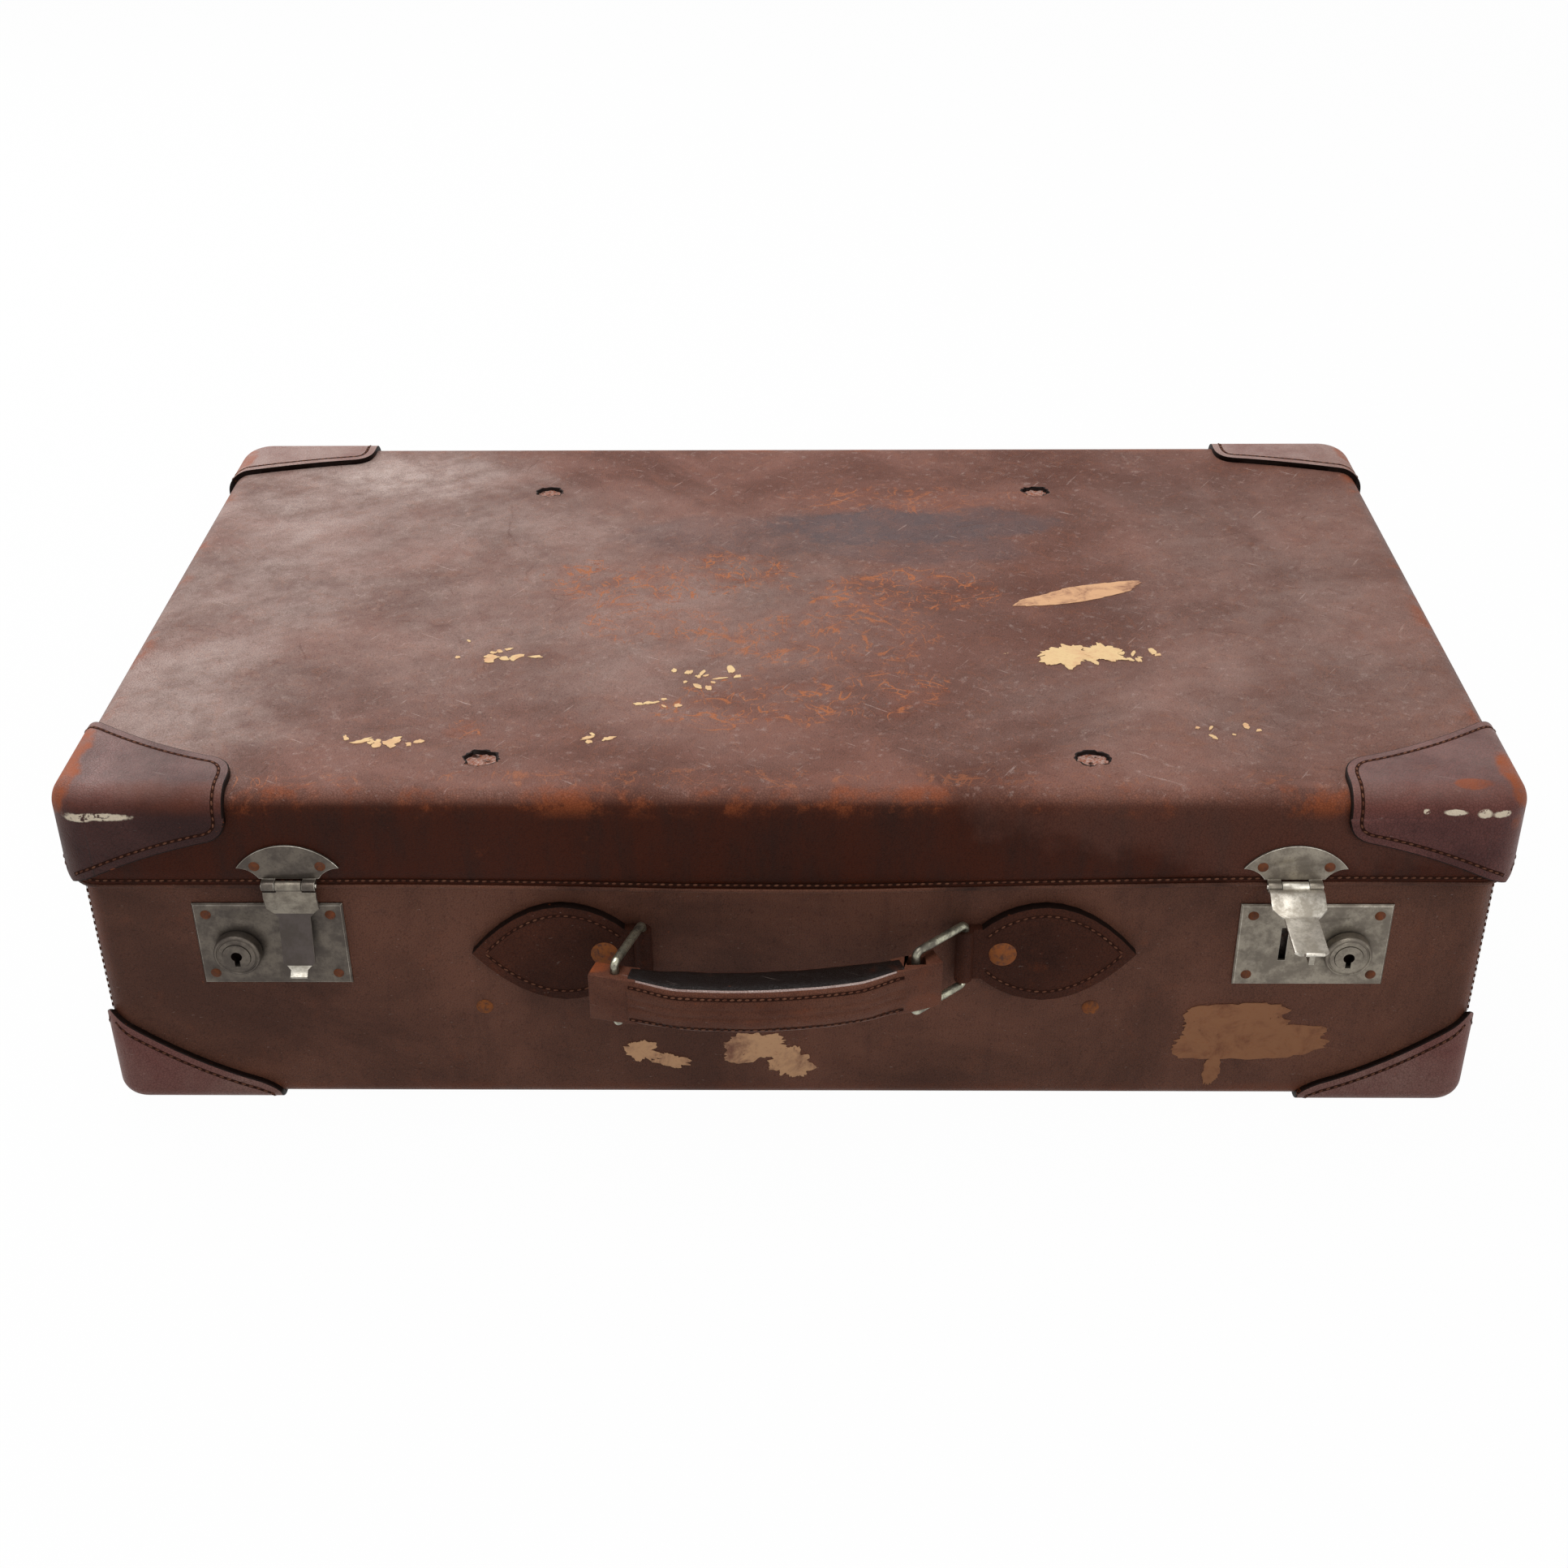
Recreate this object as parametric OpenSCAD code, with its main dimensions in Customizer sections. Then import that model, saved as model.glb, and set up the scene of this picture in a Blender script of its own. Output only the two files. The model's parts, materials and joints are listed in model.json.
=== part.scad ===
// Old leather suitcase: a cap lid over a shallow base, sewn corner caps, two hasp locks
// with sliding knobs, a carrying handle on two wire loops and two rear hinges.
// Millimetres. X runs along the length, -Y is the front, +Z is up.
// Z = 0 is the underside of the bottom corner caps, which the case stands on.

/* [Case] */
// Length of the lid over its walls
case_w = 660; // [560:5:760]
// Depth of the lid over its walls, front to back
case_d = 400; // [330:5:480]
// Height of the lid's top
case_h = 178; // [168:1:220]
// Height of the lid's rim
rim_z = 127; // [122:1:136]
// Thickness of the lid's walls
lid_wall = 3.3; // [2.5:0.1:5]
// Thickness of the lid's top
lid_top = 4; // [3:0.1:6]
// Clearance between the base and the lid that caps it
lid_gap = 0.5; // [0.4:0.05:1]
// Thickness of the base's walls
base_wall = 4; // [3.6:0.1:6]
// Thickness of the base's floor
base_floor = 4; // [3:0.1:6]
// How far the base's walls reach up inside the lid
lip_h = 9; // [5:0.5:10]
// Radius of the lid's upright corners
corner_r = 16; // [13:0.5:24]
// Radius of the lid's top edges
lid_edge_r = 9.5; // [5.5:0.5:11]
// Radius of the base's bottom edges
base_edge_r = 6; // [4:0.5:9]

/* [Lining and edges] */
// Thickness of the cloth and paper lining
lining_t = 0.8; // [0.6:0.1:1.5]
// Glue gap between a lining and the wall behind it
lining_gap = 0.2; // [0.1:0.05:0.3]
// Thickness of the leather binding on the base's lip
binding_t = 1.2; // [0.8:0.1:1.5]
// How far the binding hangs down inside the base
binding_drop = 10; // [6:0.5:14]
// Height of the sewn strip round the lid's rim
rim_strip_h = 2; // [1.5:0.1:3]
// How far that strip stands out of the lid's walls
rim_strip_out = 0.4; // [0.2:0.05:0.6]
// Room between the lid's lining and the base's binding
lining_room = 2; // [1.5:0.5:4]

/* [Torn strap holes] */
// Length of a torn hole in the lid
hole_len = 12; // [9:0.5:16]
// Width of a torn hole
hole_wid = 7; // [5:0.5:8.5]
// Depth of a torn hole, down to the board
hole_depth = 1.8; // [1:0.1:2.5]
// Distance from the lid's sides to the holes
hole_side = 190; // [150:1:240]
// Distance from the lid's front to the front holes
hole_front = 33; // [28:1:60]
// Distance from the lid's rear to the rear holes
hole_rear = 70; // [50:1:90]

/* [Corner caps] */
// Thickness of a corner cap
cap_t = 3; // [2:0.1:3.6]
// Length of a cap along the case's front or rear
cap_run = 79; // [60:1:95]
// Length of a front cap along the case's side
cap_side_front = 67; // [48:1:75]
// Length of a rear cap along the case's side
cap_side_rear = 47; // [42:1:75]
// Width of a cap's rounded end on the top
cap_end = 26; // [20:1:30]
// Height of a bottom cap at the upright corner
cap_rise = 53; // [40:1:58]
// Depth of a lid cap's end on the front
cap_lid_end = 20; // [12:1:24]
// Gap between a lid cap and the rim strip
cap_rim_gap = 0.3; // [0.2:0.1:1]

/* [Locks] */
// Distance from the middle of the front to a lock plate's middle, as a share of the lid's length
lock_share = 0.3667; // [0.31:0.0001:0.378]
// How far the pair of locks sits to the right of the middle
lock_shift = 2; // [-6:0.5:6]
// Length of a lock plate
plate_w = 70; // [66:0.5:80]
// Height of a lock plate
plate_h = 45.5; // [44:0.5:50]
// Thickness of a lock plate
plate_t = 1.6; // [1.2:0.1:2]
// Drop from the lid's rim to the top of a lock plate
plate_drop = 9; // [8:0.5:11]
// Width of the bevel on a lock plate's edge
plate_bevel = 0.8; // [0.4:0.1:1]
// Inset of a plate's rivets from its edges
plate_rivet_in = 6; // [5.5:0.1:6.4]
// Diameter of a knob
knob_d = 22; // [19:0.5:23]
// How far a knob stands out of its plate
knob_h = 5.5; // [5:0.1:8]
// Distance from a plate's middle outwards to its knob
knob_out = 16; // [15:0.5:17]
// Drop of a knob below its plate's middle
knob_low = 3; // [0:0.5:4]
// Diameter of a knob's stem
knob_stem = 9; // [7:0.5:10]
// Travel of a knob
knob_travel = 5; // [4.6:0.1:5.4]
// Diameter of the turning key plug
plug_d = 13; // [11:0.5:14]
// Thickness of a lock's bolt
bolt_t = 1.4; // [1.2:0.1:1.5]
// Running gap round the bolt and the knob
lock_gap = 0.3; // [0.25:0.05:0.35]
// Thickness of the lock case's sheet
lock_sheet = 0.9; // [0.7:0.1:1]

/* [Hasps] */
// Distance from a plate's middle inwards to its hasp
hasp_in = 13.5; // [13:0.5:14]
// Width of the hasp's hinge
hasp_hinge_w = 24.6; // [22:0.2:28]
// Radius of the hasp's hinge barrel
hasp_barrel_r = 2.4; // [2:0.1:2.6]
// Diameter of the hasp's hinge pin
hasp_pin_d = 2; // [1.6:0.1:2.2]
// Thickness of the hasp and of its plate
hasp_t = 1.2; // [1:0.1:1.4]
// Width of the hasp's tongue
tongue_w = 15; // [12:0.5:16]
// Length of the hasp from its pin to its finger tip
hasp_len = 48; // [47.5:0.5:54]
// Width of the plate that holds the hasp to the lid
fan_w = 47; // [42:0.5:52]
// Height of that plate above the pin
fan_h = 20.4; // [19:0.2:24]
// Lift of the left hasp at rest
lift_left = 8.5; // [8.5:0.5:20]
// Lift of the right hasp at rest
lift_right = 88; // [10:1:90]
// Thickness of the hook behind a hasp
hook_t = 2.4; // [2:0.1:2.6]
// Height of that hook
hook_h = 8; // [7:0.5:8.5]

/* [Handle] */
// How far the handle sits to the right of the middle
handle_x = 8; // [-12:1:12]
// Height of the handle's middle
handle_z = 92; // [86:0.5:94]
// Distance between the pivots of the two wire loops
pivot_span = 149; // [140:1:165]
// Diameter of the loops' wire
wire_d = 4; // [3.4:0.1:5]
// Length of a loop, from pivot to handle
loop_len = 32; // [28:0.5:36]
// Height of a loop between its legs' middles
loop_h = 34; // [33:0.5:38]
// Lean of the left loop at rest
lean_loop_left = 19; // [15:1:22]
// Lean of the right loop at rest
lean_loop_right = 47; // [43:1:50]
// Thickness of the grip
grip_d = 21; // [18:0.5:24]
// Height of the grip
grip_h = 25; // [22:0.5:26]
// Rounding of the grip's section
grip_round = 7; // [5:0.5:8.5]
// How far the grip bows away from the case
grip_bow = 10; // [8:0.5:14]
// Diameter of the core inside the grip
core_d = 8; // [6:0.5:10]
// Height of the handle's flat ends
end_h = 24.5; // [22:0.5:26]
// Thickness of the handle's flat ends
end_t = 10.5; // [9.5:0.1:12]
// How far a flat end runs past its wire
end_past = 11; // [8:0.5:14]
// Slack of the right loop's wire along the handle
slot_along = 4.8; // [4.4:0.1:5.4]
// Slack of the right loop's wire across the handle
slot_across = 2.2; // [1.8:0.1:2.8]

/* [Handle tabs] */
// Thickness of a tab
tab_t = 4.5; // [3.5:0.1:5]
// Length of a tab from its pivot to its point
tab_len = 80; // [70:1:90]
// Height of a tab at its widest
tab_h = 53; // [46:1:56]
// Play of the loop above and below the fold that holds it
fold_play = 0.4; // [0.3:0.1:3]
// Leather round the wire in the fold
fold_t = 2.2; // [1.8:0.1:2.6]
// How far a tab's leaf sits above the loop's middle
tab_rise = 0; // [0:0.5:3]
// Distance from the pivot to the tab's rivet
tab_rivet_out = 18; // [15:0.5:24]
// Diameter of the tab's rivet
tab_rivet_d = 13; // [10:0.5:15]
// Diameter of the small rivets low on the front
wall_rivet_d = 8; // [6:0.5:10]
// Distance from the middle to a small rivet
wall_rivet_x = 144; // [120:1:170]
// Height of the small rivets
wall_rivet_z = 57.5; // [50:0.5:58]

/* [Rear hinges] */
// Distance from the middle of the rear to a hinge, as a share of the lid's length
hinge_share = 0.288; // [0.19:0.001:0.3]
// Length of a hinge
hinge_w = 45; // [36:1:56]
// Height of each leaf
hinge_leaf = 26; // [22:0.5:32]
// Thickness of a leaf
hinge_t = 1.2; // [1:0.1:1.6]
// Radius of the hinge's barrel
barrel_r = 3; // [2.6:0.1:3.2]
// Diameter of the hinge's pin
hinge_pin_d = 3.2; // [2.6:0.1:3.4]
// Distance from the lid's rear wall to the pin
pin_out = 4; // [3.8:0.1:4.6]

/* [Rivets] */
// Diameter of a small rivet's head
rivet_head = 5; // [4:0.1:5.4]
// Height of a rivet's head
rivet_dome = 1.1; // [0.8:0.1:1.6]
// Diameter of a rivet's shank
rivet_shank = 2.6; // [2:0.1:3]

/* [Hidden] */
$fn = 48;

leather = "#5a3a30";
lid_leather = "#7a564b";
cap_leather = "#4a3034";
tab_leather = "#4a3028";
cloth = "#b29468";
steel = "#918d85";
rust = "#84482a";
nickel = "#a9a893";

// Running clearance of a pin or a wire in its hole, on the radius
run_gap = 0.05;
// Clearance between knuckles, and round a piece let into a wall
side_gap = 0.3;
// Overshoot of a cut past the face it opens
cut = 1;
// How much sharper a cap is bent inside than the shell that it lies on
cap_relief = 0.5;
// Room between a hasp's barrel and the rim strip behind it
barrel_room = 0.6;
// Height of a hasp's pin above the rim
hasp_rise = 5.1;
// Room round a hook in its slot
hook_room = 1;
// How far the hook may travel up in its slot as it swings in
hook_swing = 9;
// Gap between a drawn bolt and the hook beside it
bolt_back = 0.8;
// Height of a hinge rivet, as a share of the leaf
rivet_share = 0.7;
// How far a pin stands out of its knuckles
pin_end = 0.5;
// How far a key plug stands out of its knob
plug_proud = 0.4;
// Glue gap round the core inside the grip
core_gap = 0.2;
// Metal left behind a key plug
plug_back = 1.2;
// Height of the bottom caps' ends on the front
cap_base_end = 6;
// Leather of a flat end beyond its wire, towards the grip
end_neck = 4;

// The case's walls
base_w = case_w - 2 * (lid_wall + lid_gap);
base_d = case_d - 2 * (lid_wall + lid_gap);
base_r = corner_r - lid_wall - lid_gap;
base_z = cap_t;
wall_top = rim_z + lip_h;
floor_z = base_z + base_floor;
lid_z = rim_z + rim_strip_h;
lid_inner_z = case_h - lid_top;
lining_low = wall_top + binding_t + lining_room;
cap_over = cap_t + 2;
hole_r = rivet_shank / 2 + run_gap;
lid_front = -case_d / 2;
base_front = -base_d / 2;
inner_r = 3;

// The lock, seen from its plate's middle
lock_x = case_w * lock_share;
lock_z = rim_z - plate_drop - plate_h / 2;
plate_front = base_front - plate_t;
bolt_front = base_front + lock_gap;
case_room = base_wall - lock_sheet;
case_in = hasp_in + hook_t / 2 + knob_travel + hook_room;
case_out = knob_out + knob_stem / 2 + 6;
case_half = plate_h / 2 - plate_rivet_in - rivet_shank / 2 - 1.5;
hook_z = lock_z - 3;
hook_tip = base_front + case_room - lock_gap;
slot_w = hook_t + hook_room;
slot_top = hook_z + hook_h / 2 + hook_swing;
slot_bottom = hook_z - hook_h / 2 - 1.5;
nose_h = hook_h - 3.6;

// The hasp's pin, and the plane its closed tongue lies in
hasp_y = lid_front - rim_strip_out - hasp_barrel_r - barrel_room;
hasp_z = rim_z + hasp_rise;
tongue_y = plate_front - lock_gap - hasp_t / 2;
tongue_in = tongue_y - hasp_y;
tongue_start = 16;
hasp_section = ribbon([
    [0, 0], [0, -6], [tongue_in, -tongue_start], [tongue_in, 4.5 - hasp_len],
    [tongue_in - 2.6, 1 - hasp_len], [tongue_in - 4, -hasp_len]
], hasp_t);
function hasp_front(lift) = hasp_y + min([for (p = hasp_section) p[0] * cos(lift) + p[1] * sin(lift)]);
hook_drop = hasp_z - hook_z;
knuckle_w = (hasp_hinge_w - 2 * side_gap) / 4;
plug_depth = knob_h - plug_back;

// The rear hinge's pin
pin_y = case_d / 2 + pin_out;
pin_z = rim_z;
hinge_x = case_w * hinge_share;
hinge_base_z = pin_z - hinge_leaf * rivet_share;
hinge_lid_z = pin_z + hinge_leaf * rivet_share;
outer_w = hinge_w * 0.31;
middle_w = hinge_w - 2 * outer_w - 2 * side_gap;

// The loops' wire is bent to this radius along its middle, and the fold fills the straight stretch
wire_bend = wire_d / 2 + 0.6;
fold_h = loop_h - 2 * (wire_bend + fold_play);

// The handle's linkage, seen from above
pivot_y = base_front - wire_d / 2 - fold_t - 0.1;
pivot_left = [handle_x - pivot_span / 2, pivot_y];
pivot_right = [handle_x + pivot_span / 2, pivot_y];
bar_left = pivot_left + loop_len * [-sin(lean_loop_left), -cos(lean_loop_left)];
bar_right = pivot_right + loop_len * [-sin(lean_loop_right), -cos(lean_loop_right)];
bar_span = norm(bar_right - bar_left);
handle_yaw = atan2(bar_right[1] - bar_left[1], bar_right[0] - bar_left[0]);
grip_r = (pow(bar_span / 2, 2) + pow(grip_bow, 2)) / (2 * grip_bow);
bar_angle = asin(bar_span / 2 / grip_r);
end_angle = bar_angle + end_past / grip_r * 180 / PI;
grip_angle = bar_angle - (wire_d / 2 + slot_along + end_neck) / grip_r * 180 / PI;
handle_mid = (bar_left + bar_right) / 2;
grip_centre = handle_mid + (grip_r - grip_bow) * [-sin(handle_yaw), cos(handle_yaw)];

// The part's own middle, front to back, from the handle or a lifted hasp to the hinges' barrels
front_y = min(grip_centre[1] - grip_r - grip_d / 2, hasp_front(lift_left), hasp_front(lift_right));
rear_y = pin_y + barrel_r;
middle_y = (front_y + rear_y) / 2;

function bend(a, b, c, steps = 6) =
    [for (i = [0:steps]) let (t = i / steps) (1 - t) * (1 - t) * a + 2 * t * (1 - t) * b + t * t * c];
function unit(v) = v / norm(v);
function left_of(v) = [-v[1], v[0]];
function miter(path, i) =
    let (
        before = unit(path[max(i, 1)] - path[max(i, 1) - 1]),
        after = unit(path[min(i + 1, len(path) - 1)] - path[min(i + 1, len(path) - 1) - 1]),
        m = unit(left_of(before) + left_of(after))
    ) m / (m * left_of(before));
// Outline of a bent sheet of thickness t that follows a path
function ribbon(path, t) = concat(
    [for (i = [0:len(path) - 1]) path[i] + miter(path, i) * t / 2],
    [for (i = [len(path) - 1:-1:0]) path[i] - miter(path, i) * t / 2]
);

// A whole outline from its right half, listed from top to bottom
function both_sides(half) = concat(half, [for (i = [len(half) - 1:-1:0]) [-half[i][0], half[i][1]]]);

// Moves the case so that the part's middle lies over the origin
module place() translate([0, -middle_y, 0]) children();

// Draws a left piece as the mirror of the right one
module side(s) mirror([s < 0 ? 1 : 0, 0, 0]) children();

// A right lock's own axes: the origin is the middle of its plate's back
module at_lock(s) translate([lock_shift, 0, 0]) side(s) translate([lock_x, base_front, lock_z]) children();

module along_x(x0, length) translate([x0, 0, 0]) rotate([90, 0, 90]) linear_extrude(length) children();
module along_y(y0, length)
    translate([0, y0 + length, 0]) rotate([90, 0, 0]) linear_extrude(length) children();

// A rod along X or Y
module rod_x(x0, length, r) translate([x0, 0, 0]) rotate([0, 90, 0]) cylinder(h = length, r = r);
module rod_y(y0, length, r) translate([0, y0, 0]) rotate([-90, 0, 0]) cylinder(h = length, r = r);

// A rectangle about X = 0 that stands on Y = 0, with rounded lower and upper corners
module rounded_rect(w, h, lower, upper) {
    translate([-w / 2, lower]) square([w, h - lower - upper]);
    translate([-w / 2 + lower, 0]) square([w - 2 * lower, h - upper]);
    translate([-w / 2 + upper, lower]) square([w - 2 * upper, h - lower]);
    for (s = [-1, 1]) {
        if (lower > 0) translate([s * (w / 2 - lower), lower]) circle(lower);
        if (upper > 0) translate([s * (w / 2 - upper), h - upper]) circle(upper);
    }
}

module plan(w, d, r) translate([0, -d / 2]) rounded_rect(w, d, r, r);

// The rounded end of a box, from its flat face at Z = 0 to just past its full plan at Z = e
module soft_end(w, d, r, e) {
    along_x(r - w / 2, w - 2 * r) rounded_rect(d, e + cut, e, 0);
    along_y(r - d / 2, d - 2 * r) rounded_rect(w, e + cut, e, 0);
    for (x = [0, 1], y = [0, 1]) mirror([x, 0, 0]) mirror([0, y, 0]) translate([w / 2 - r, d / 2 - r, 0])
        rotate_extrude(angle = 90) intersection() {
            rounded_rect(2 * r, e + cut, e, 0);
            square([r, e + cut]);
        }
}

// A box with rounded upright edges and rounded lower or upper edges
module box(w, d, z0, z1, r, lower = 0, upper = 0) {
    translate([0, 0, z0 + lower]) linear_extrude(z1 - z0 - lower - upper) plan(w, d, r);
    if (lower > 0) translate([0, 0, z0]) soft_end(w, d, r, lower);
    if (upper > 0) translate([0, 0, z1]) mirror([0, 0, 1]) soft_end(w, d, r, upper);
}

// A domed rivet on a face at Y = 0: the head stands out to -Y and the shank runs to +Y
module rivet(head, dome, shank, depth) {
    $fn = 96;
    ball = (head * head / 4 + dome * dome) / (2 * dome);
    rotate([90, 0, 0]) rotate_extrude() {
        intersection() {
            translate([0, dome - ball]) circle(ball);
            square([head / 2, dome]);
        }
        translate([0, -depth]) square([shank / 2, depth + dome / 2]);
    }
}

module base_block(grow = 0, tight = 0) box(
    base_w + 2 * grow, base_d + 2 * grow, base_z - grow, wall_top,
    base_r + grow - tight, lower = base_edge_r + grow - tight
);
module lid_block(grow = 0, tight = 0) box(
    case_w + 2 * grow, case_d + 2 * grow, lid_z, case_h + grow,
    corner_r + grow - tight, upper = lid_edge_r + grow - tight
);
module base_room(shrink) box(
    base_w - 2 * (base_wall + shrink), base_d - 2 * (base_wall + shrink),
    floor_z + max(0, shrink - lining_gap), wall_top + binding_t + cut,
    base_r - base_wall - shrink, lower = inner_r
);
module lid_room(shrink, z0) box(
    case_w - 2 * (lid_wall + shrink), case_d - 2 * (lid_wall + shrink), z0,
    lid_inner_z - max(0, shrink - lining_gap), corner_r - lid_wall - shrink, upper = inner_r
);

// The base
module plate_rivets(out) {
    for (x = [-1, 1], z = [-1, 1])
        translate([x * (plate_w / 2 - plate_rivet_in), out, z * (plate_h / 2 - plate_rivet_in)]) children();
}
module hinge_places(y, z) {
    for (x = [-1, 1]) translate([hinge_x + x * hinge_w / 4, y, z]) children();
}
module tab_place(s)
    translate([handle_x, base_front, handle_z]) side(s) translate([pivot_span / 2, 0, 0]) children();
module wall_place(s) side(s) translate([wall_rivet_x, base_front, wall_rivet_z]) children();

module base_shell() color(leather) place() difference() {
    base_block();
    base_room(0);
    for (s = [-1, 1]) {
        at_lock(s) translate([-case_in - side_gap, -cut, -case_half - side_gap])
            cube([case_in + case_out + 2 * side_gap, base_wall + 2 * cut, 2 * (case_half + side_gap)]);
        at_lock(s) plate_rivets(0) rod_y(-cut, base_wall + 2 * cut, hole_r);
        tab_place(s) translate([tab_rivet_out, 0, 0]) rod_y(-cut, base_wall + 2 * cut, hole_r);
        wall_place(s) rod_y(-cut, base_wall + 2 * cut, hole_r);
        side(s) hinge_places(base_d / 2 - base_wall, hinge_base_z) rod_y(-cut, base_wall + 2 * cut, hole_r);
    }
}
module base_lining() color(cloth) place() difference() {
    intersection() {
        base_room(lining_gap);
        translate([-base_w / 2, -base_d / 2, 0]) cube([base_w, base_d, wall_top - binding_drop - side_gap]);
    }
    base_room(lining_gap + lining_t);
}
module base_plan(shrink) plan(base_w - 2 * shrink, base_d - 2 * shrink, base_r - shrink);
module base_binding() color(tab_leather) place() difference() {
    union() {
        translate([0, 0, wall_top]) linear_extrude(binding_t) base_plan(0);
        translate([0, 0, wall_top - binding_drop]) linear_extrude(binding_drop + binding_t / 2)
            base_plan(base_wall + lining_gap);
    }
    translate([0, 0, wall_top - binding_drop - cut]) linear_extrude(binding_drop + binding_t + 2 * cut)
        base_plan(base_wall + lining_gap + lining_t);
}

// Outline of a cap on one face, measured from the case's corner: long along the first axis,
// with a rounded end, and falling in a shallow curve to its length along the second axis
function cap_outline(long, end, short) = let (
    turn = [long * 0.88, end + (short - end) * 0.1]
) concat(
    [[-cap_over, -cap_over], [long, -cap_over]],
    bend([long, end * 0.5], [long, end], turn, 6),
    bend(turn, [long * 0.45, end + (short - end) * 0.36], [0, short], 9),
    [[-cap_over, short]]
);

// A right front cap fills the space where the outlines on the three faces meet:
// plan, front and side, measured from the corner at the outside of the shell
module cap_space(w, d, z, up, long, depth, high, end_plan, end_front) {
    intersection() {
        translate([w / 2, -d / 2, z - 2 * high]) linear_extrude(4 * high)
            mirror([1, 0]) polygon(cap_outline(long, end_plan, depth));
        translate([w / 2, 0, z]) along_y(-d / 2 - 2 * cap_over, d)
            scale([-1, up]) polygon(cap_outline(long, end_front, high));
        translate([0, -d / 2, z]) along_x(w / 2 - 1.5 * long, 1.5 * long + 2 * cap_over)
            scale([1, up]) polygon(cap_outline(depth, end_front, high));
    }
}
module base_cap(s, rear) color(cap_leather) place() side(s) mirror([0, rear ? 1 : 0, 0]) intersection() {
    difference() {
        base_block(cap_t);
        base_block(0, cap_relief);
    }
    cap_space(
        base_w, base_d, base_z, 1, cap_run, rear ? cap_side_rear : cap_side_front,
        cap_rise, cap_end, cap_base_end
    );
}
module lid_cap(s, rear) color(cap_leather) place() side(s) mirror([0, rear ? 1 : 0, 0]) intersection() {
    difference() {
        lid_block(cap_t);
        lid_block(0, cap_relief);
    }
    translate([0, 0, lid_z + cap_rim_gap]) linear_extrude(case_h) square(2 * case_w, center = true);
    cap_space(
        case_w, case_d, case_h, -1, cap_run, rear ? cap_side_rear : cap_side_front,
        case_h - lid_z, cap_end, cap_lid_end
    );
}

// A handle tab: a pointed leaf on the wall, with a fold at its inner end that holds the loop
function half_leaf(sign) = let (
    start = [wire_d / 2 + fold_t + 3, sign * (fold_h / 2 - 1)],
    widest = [tab_len * 0.47, sign * tab_h / 2],
    point = [tab_len, 0]
) concat(
    bend(start, [tab_len * 0.25, sign * tab_h / 2 * 0.98], widest, 5),
    bend(widest, [tab_len * 0.74, sign * tab_h / 2 * 0.98], point, 6)
);
module leaf_outline() {
    upper = half_leaf(1);
    lower = half_leaf(-1);
    polygon(concat(
        [for (p = upper) p + [0, tab_rise * min(1, p[0] / tab_len * 2)]],
        [for (i = [len(lower) - 2:-1:0]) lower[i] + [0, tab_rise * min(1, lower[i][0] / tab_len * 2)]]
    ));
}
module handle_tab(s) color(tab_leather) place() tab_place(s) difference() {
    union() {
        along_y(-tab_t, tab_t) leaf_outline();
        along_y(-tab_t, tab_t) translate([0, -fold_h / 2]) square([wire_d / 2 + fold_t + 4, fold_h]);
        translate([0, pivot_y - base_front, -fold_h / 2]) cylinder(h = fold_h, r = wire_d / 2 + fold_t);
    }
    translate([0, pivot_y - base_front, -fold_h / 2 - cut])
        cylinder(h = fold_h + 2 * cut, r = wire_d / 2 + run_gap);
    translate([tab_rivet_out, 0, 0]) rod_y(-tab_t - cut, tab_t + 2 * cut, hole_r);
}
module tab_rivet(s) color(rust) place() tab_place(s) translate([tab_rivet_out, -tab_t, 0])
    rivet(tab_rivet_d, rivet_dome * 2, rivet_shank, tab_t + base_wall);
module wall_rivet(s) color(rust) place() wall_place(s)
    rivet(wall_rivet_d, rivet_dome, rivet_shank, base_wall);

// The locks on the base
module stadium(length, width) {
    translate([-length / 2, -width / 2]) square([length, width]);
    for (s = [-1, 1]) translate([s * length / 2, 0]) circle(width / 2);
}
module lock_plate(s) color(steel) place() at_lock(s) difference() {
    intersection() {
        translate([-plate_w / 2, -plate_t, -plate_h / 2]) cube([plate_w, plate_t, plate_h]);
        along_x(-plate_w, 2 * plate_w) polygon([
            [0, -plate_h / 2], [0, plate_h / 2], [plate_bevel - plate_t, plate_h / 2],
            [-plate_t, plate_h / 2 - plate_bevel], [-plate_t, plate_bevel - plate_h / 2],
            [plate_bevel - plate_t, -plate_h / 2]
        ]);
        translate([0, 0, -plate_h]) linear_extrude(2 * plate_h) polygon([
            [-plate_w / 2, 0], [plate_w / 2, 0], [plate_w / 2, plate_bevel - plate_t],
            [plate_w / 2 - plate_bevel, -plate_t], [plate_bevel - plate_w / 2, -plate_t],
            [-plate_w / 2, plate_bevel - plate_t]
        ]);
    }
    translate([knob_out - knob_travel / 2, 0, -knob_low]) along_y(-plate_t - cut, plate_t + 2 * cut)
        stadium(knob_travel, knob_stem + 2 * lock_gap);
    translate([-hasp_in - slot_w / 2, -plate_t - cut, slot_bottom - lock_z])
        cube([slot_w, plate_t + 2 * cut, slot_top - slot_bottom]);
    plate_rivets(0) rod_y(-plate_t - cut, plate_t + 2 * cut, hole_r);
}
module lock_case(s) color(steel) place() at_lock(s) difference() {
    translate([-case_in, 0, -case_half]) cube([case_in + case_out, base_wall, 2 * case_half]);
    translate([-case_in + lock_sheet, -cut, -case_half + lock_sheet])
        cube([case_in + case_out - 2 * lock_sheet, case_room + cut, 2 * (case_half - lock_sheet)]);
}
module lock_rivets(s) color(rust) place() at_lock(s) plate_rivets(-plate_t)
    rivet(rivet_head, rivet_dome, rivet_shank, plate_t + base_wall);

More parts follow.
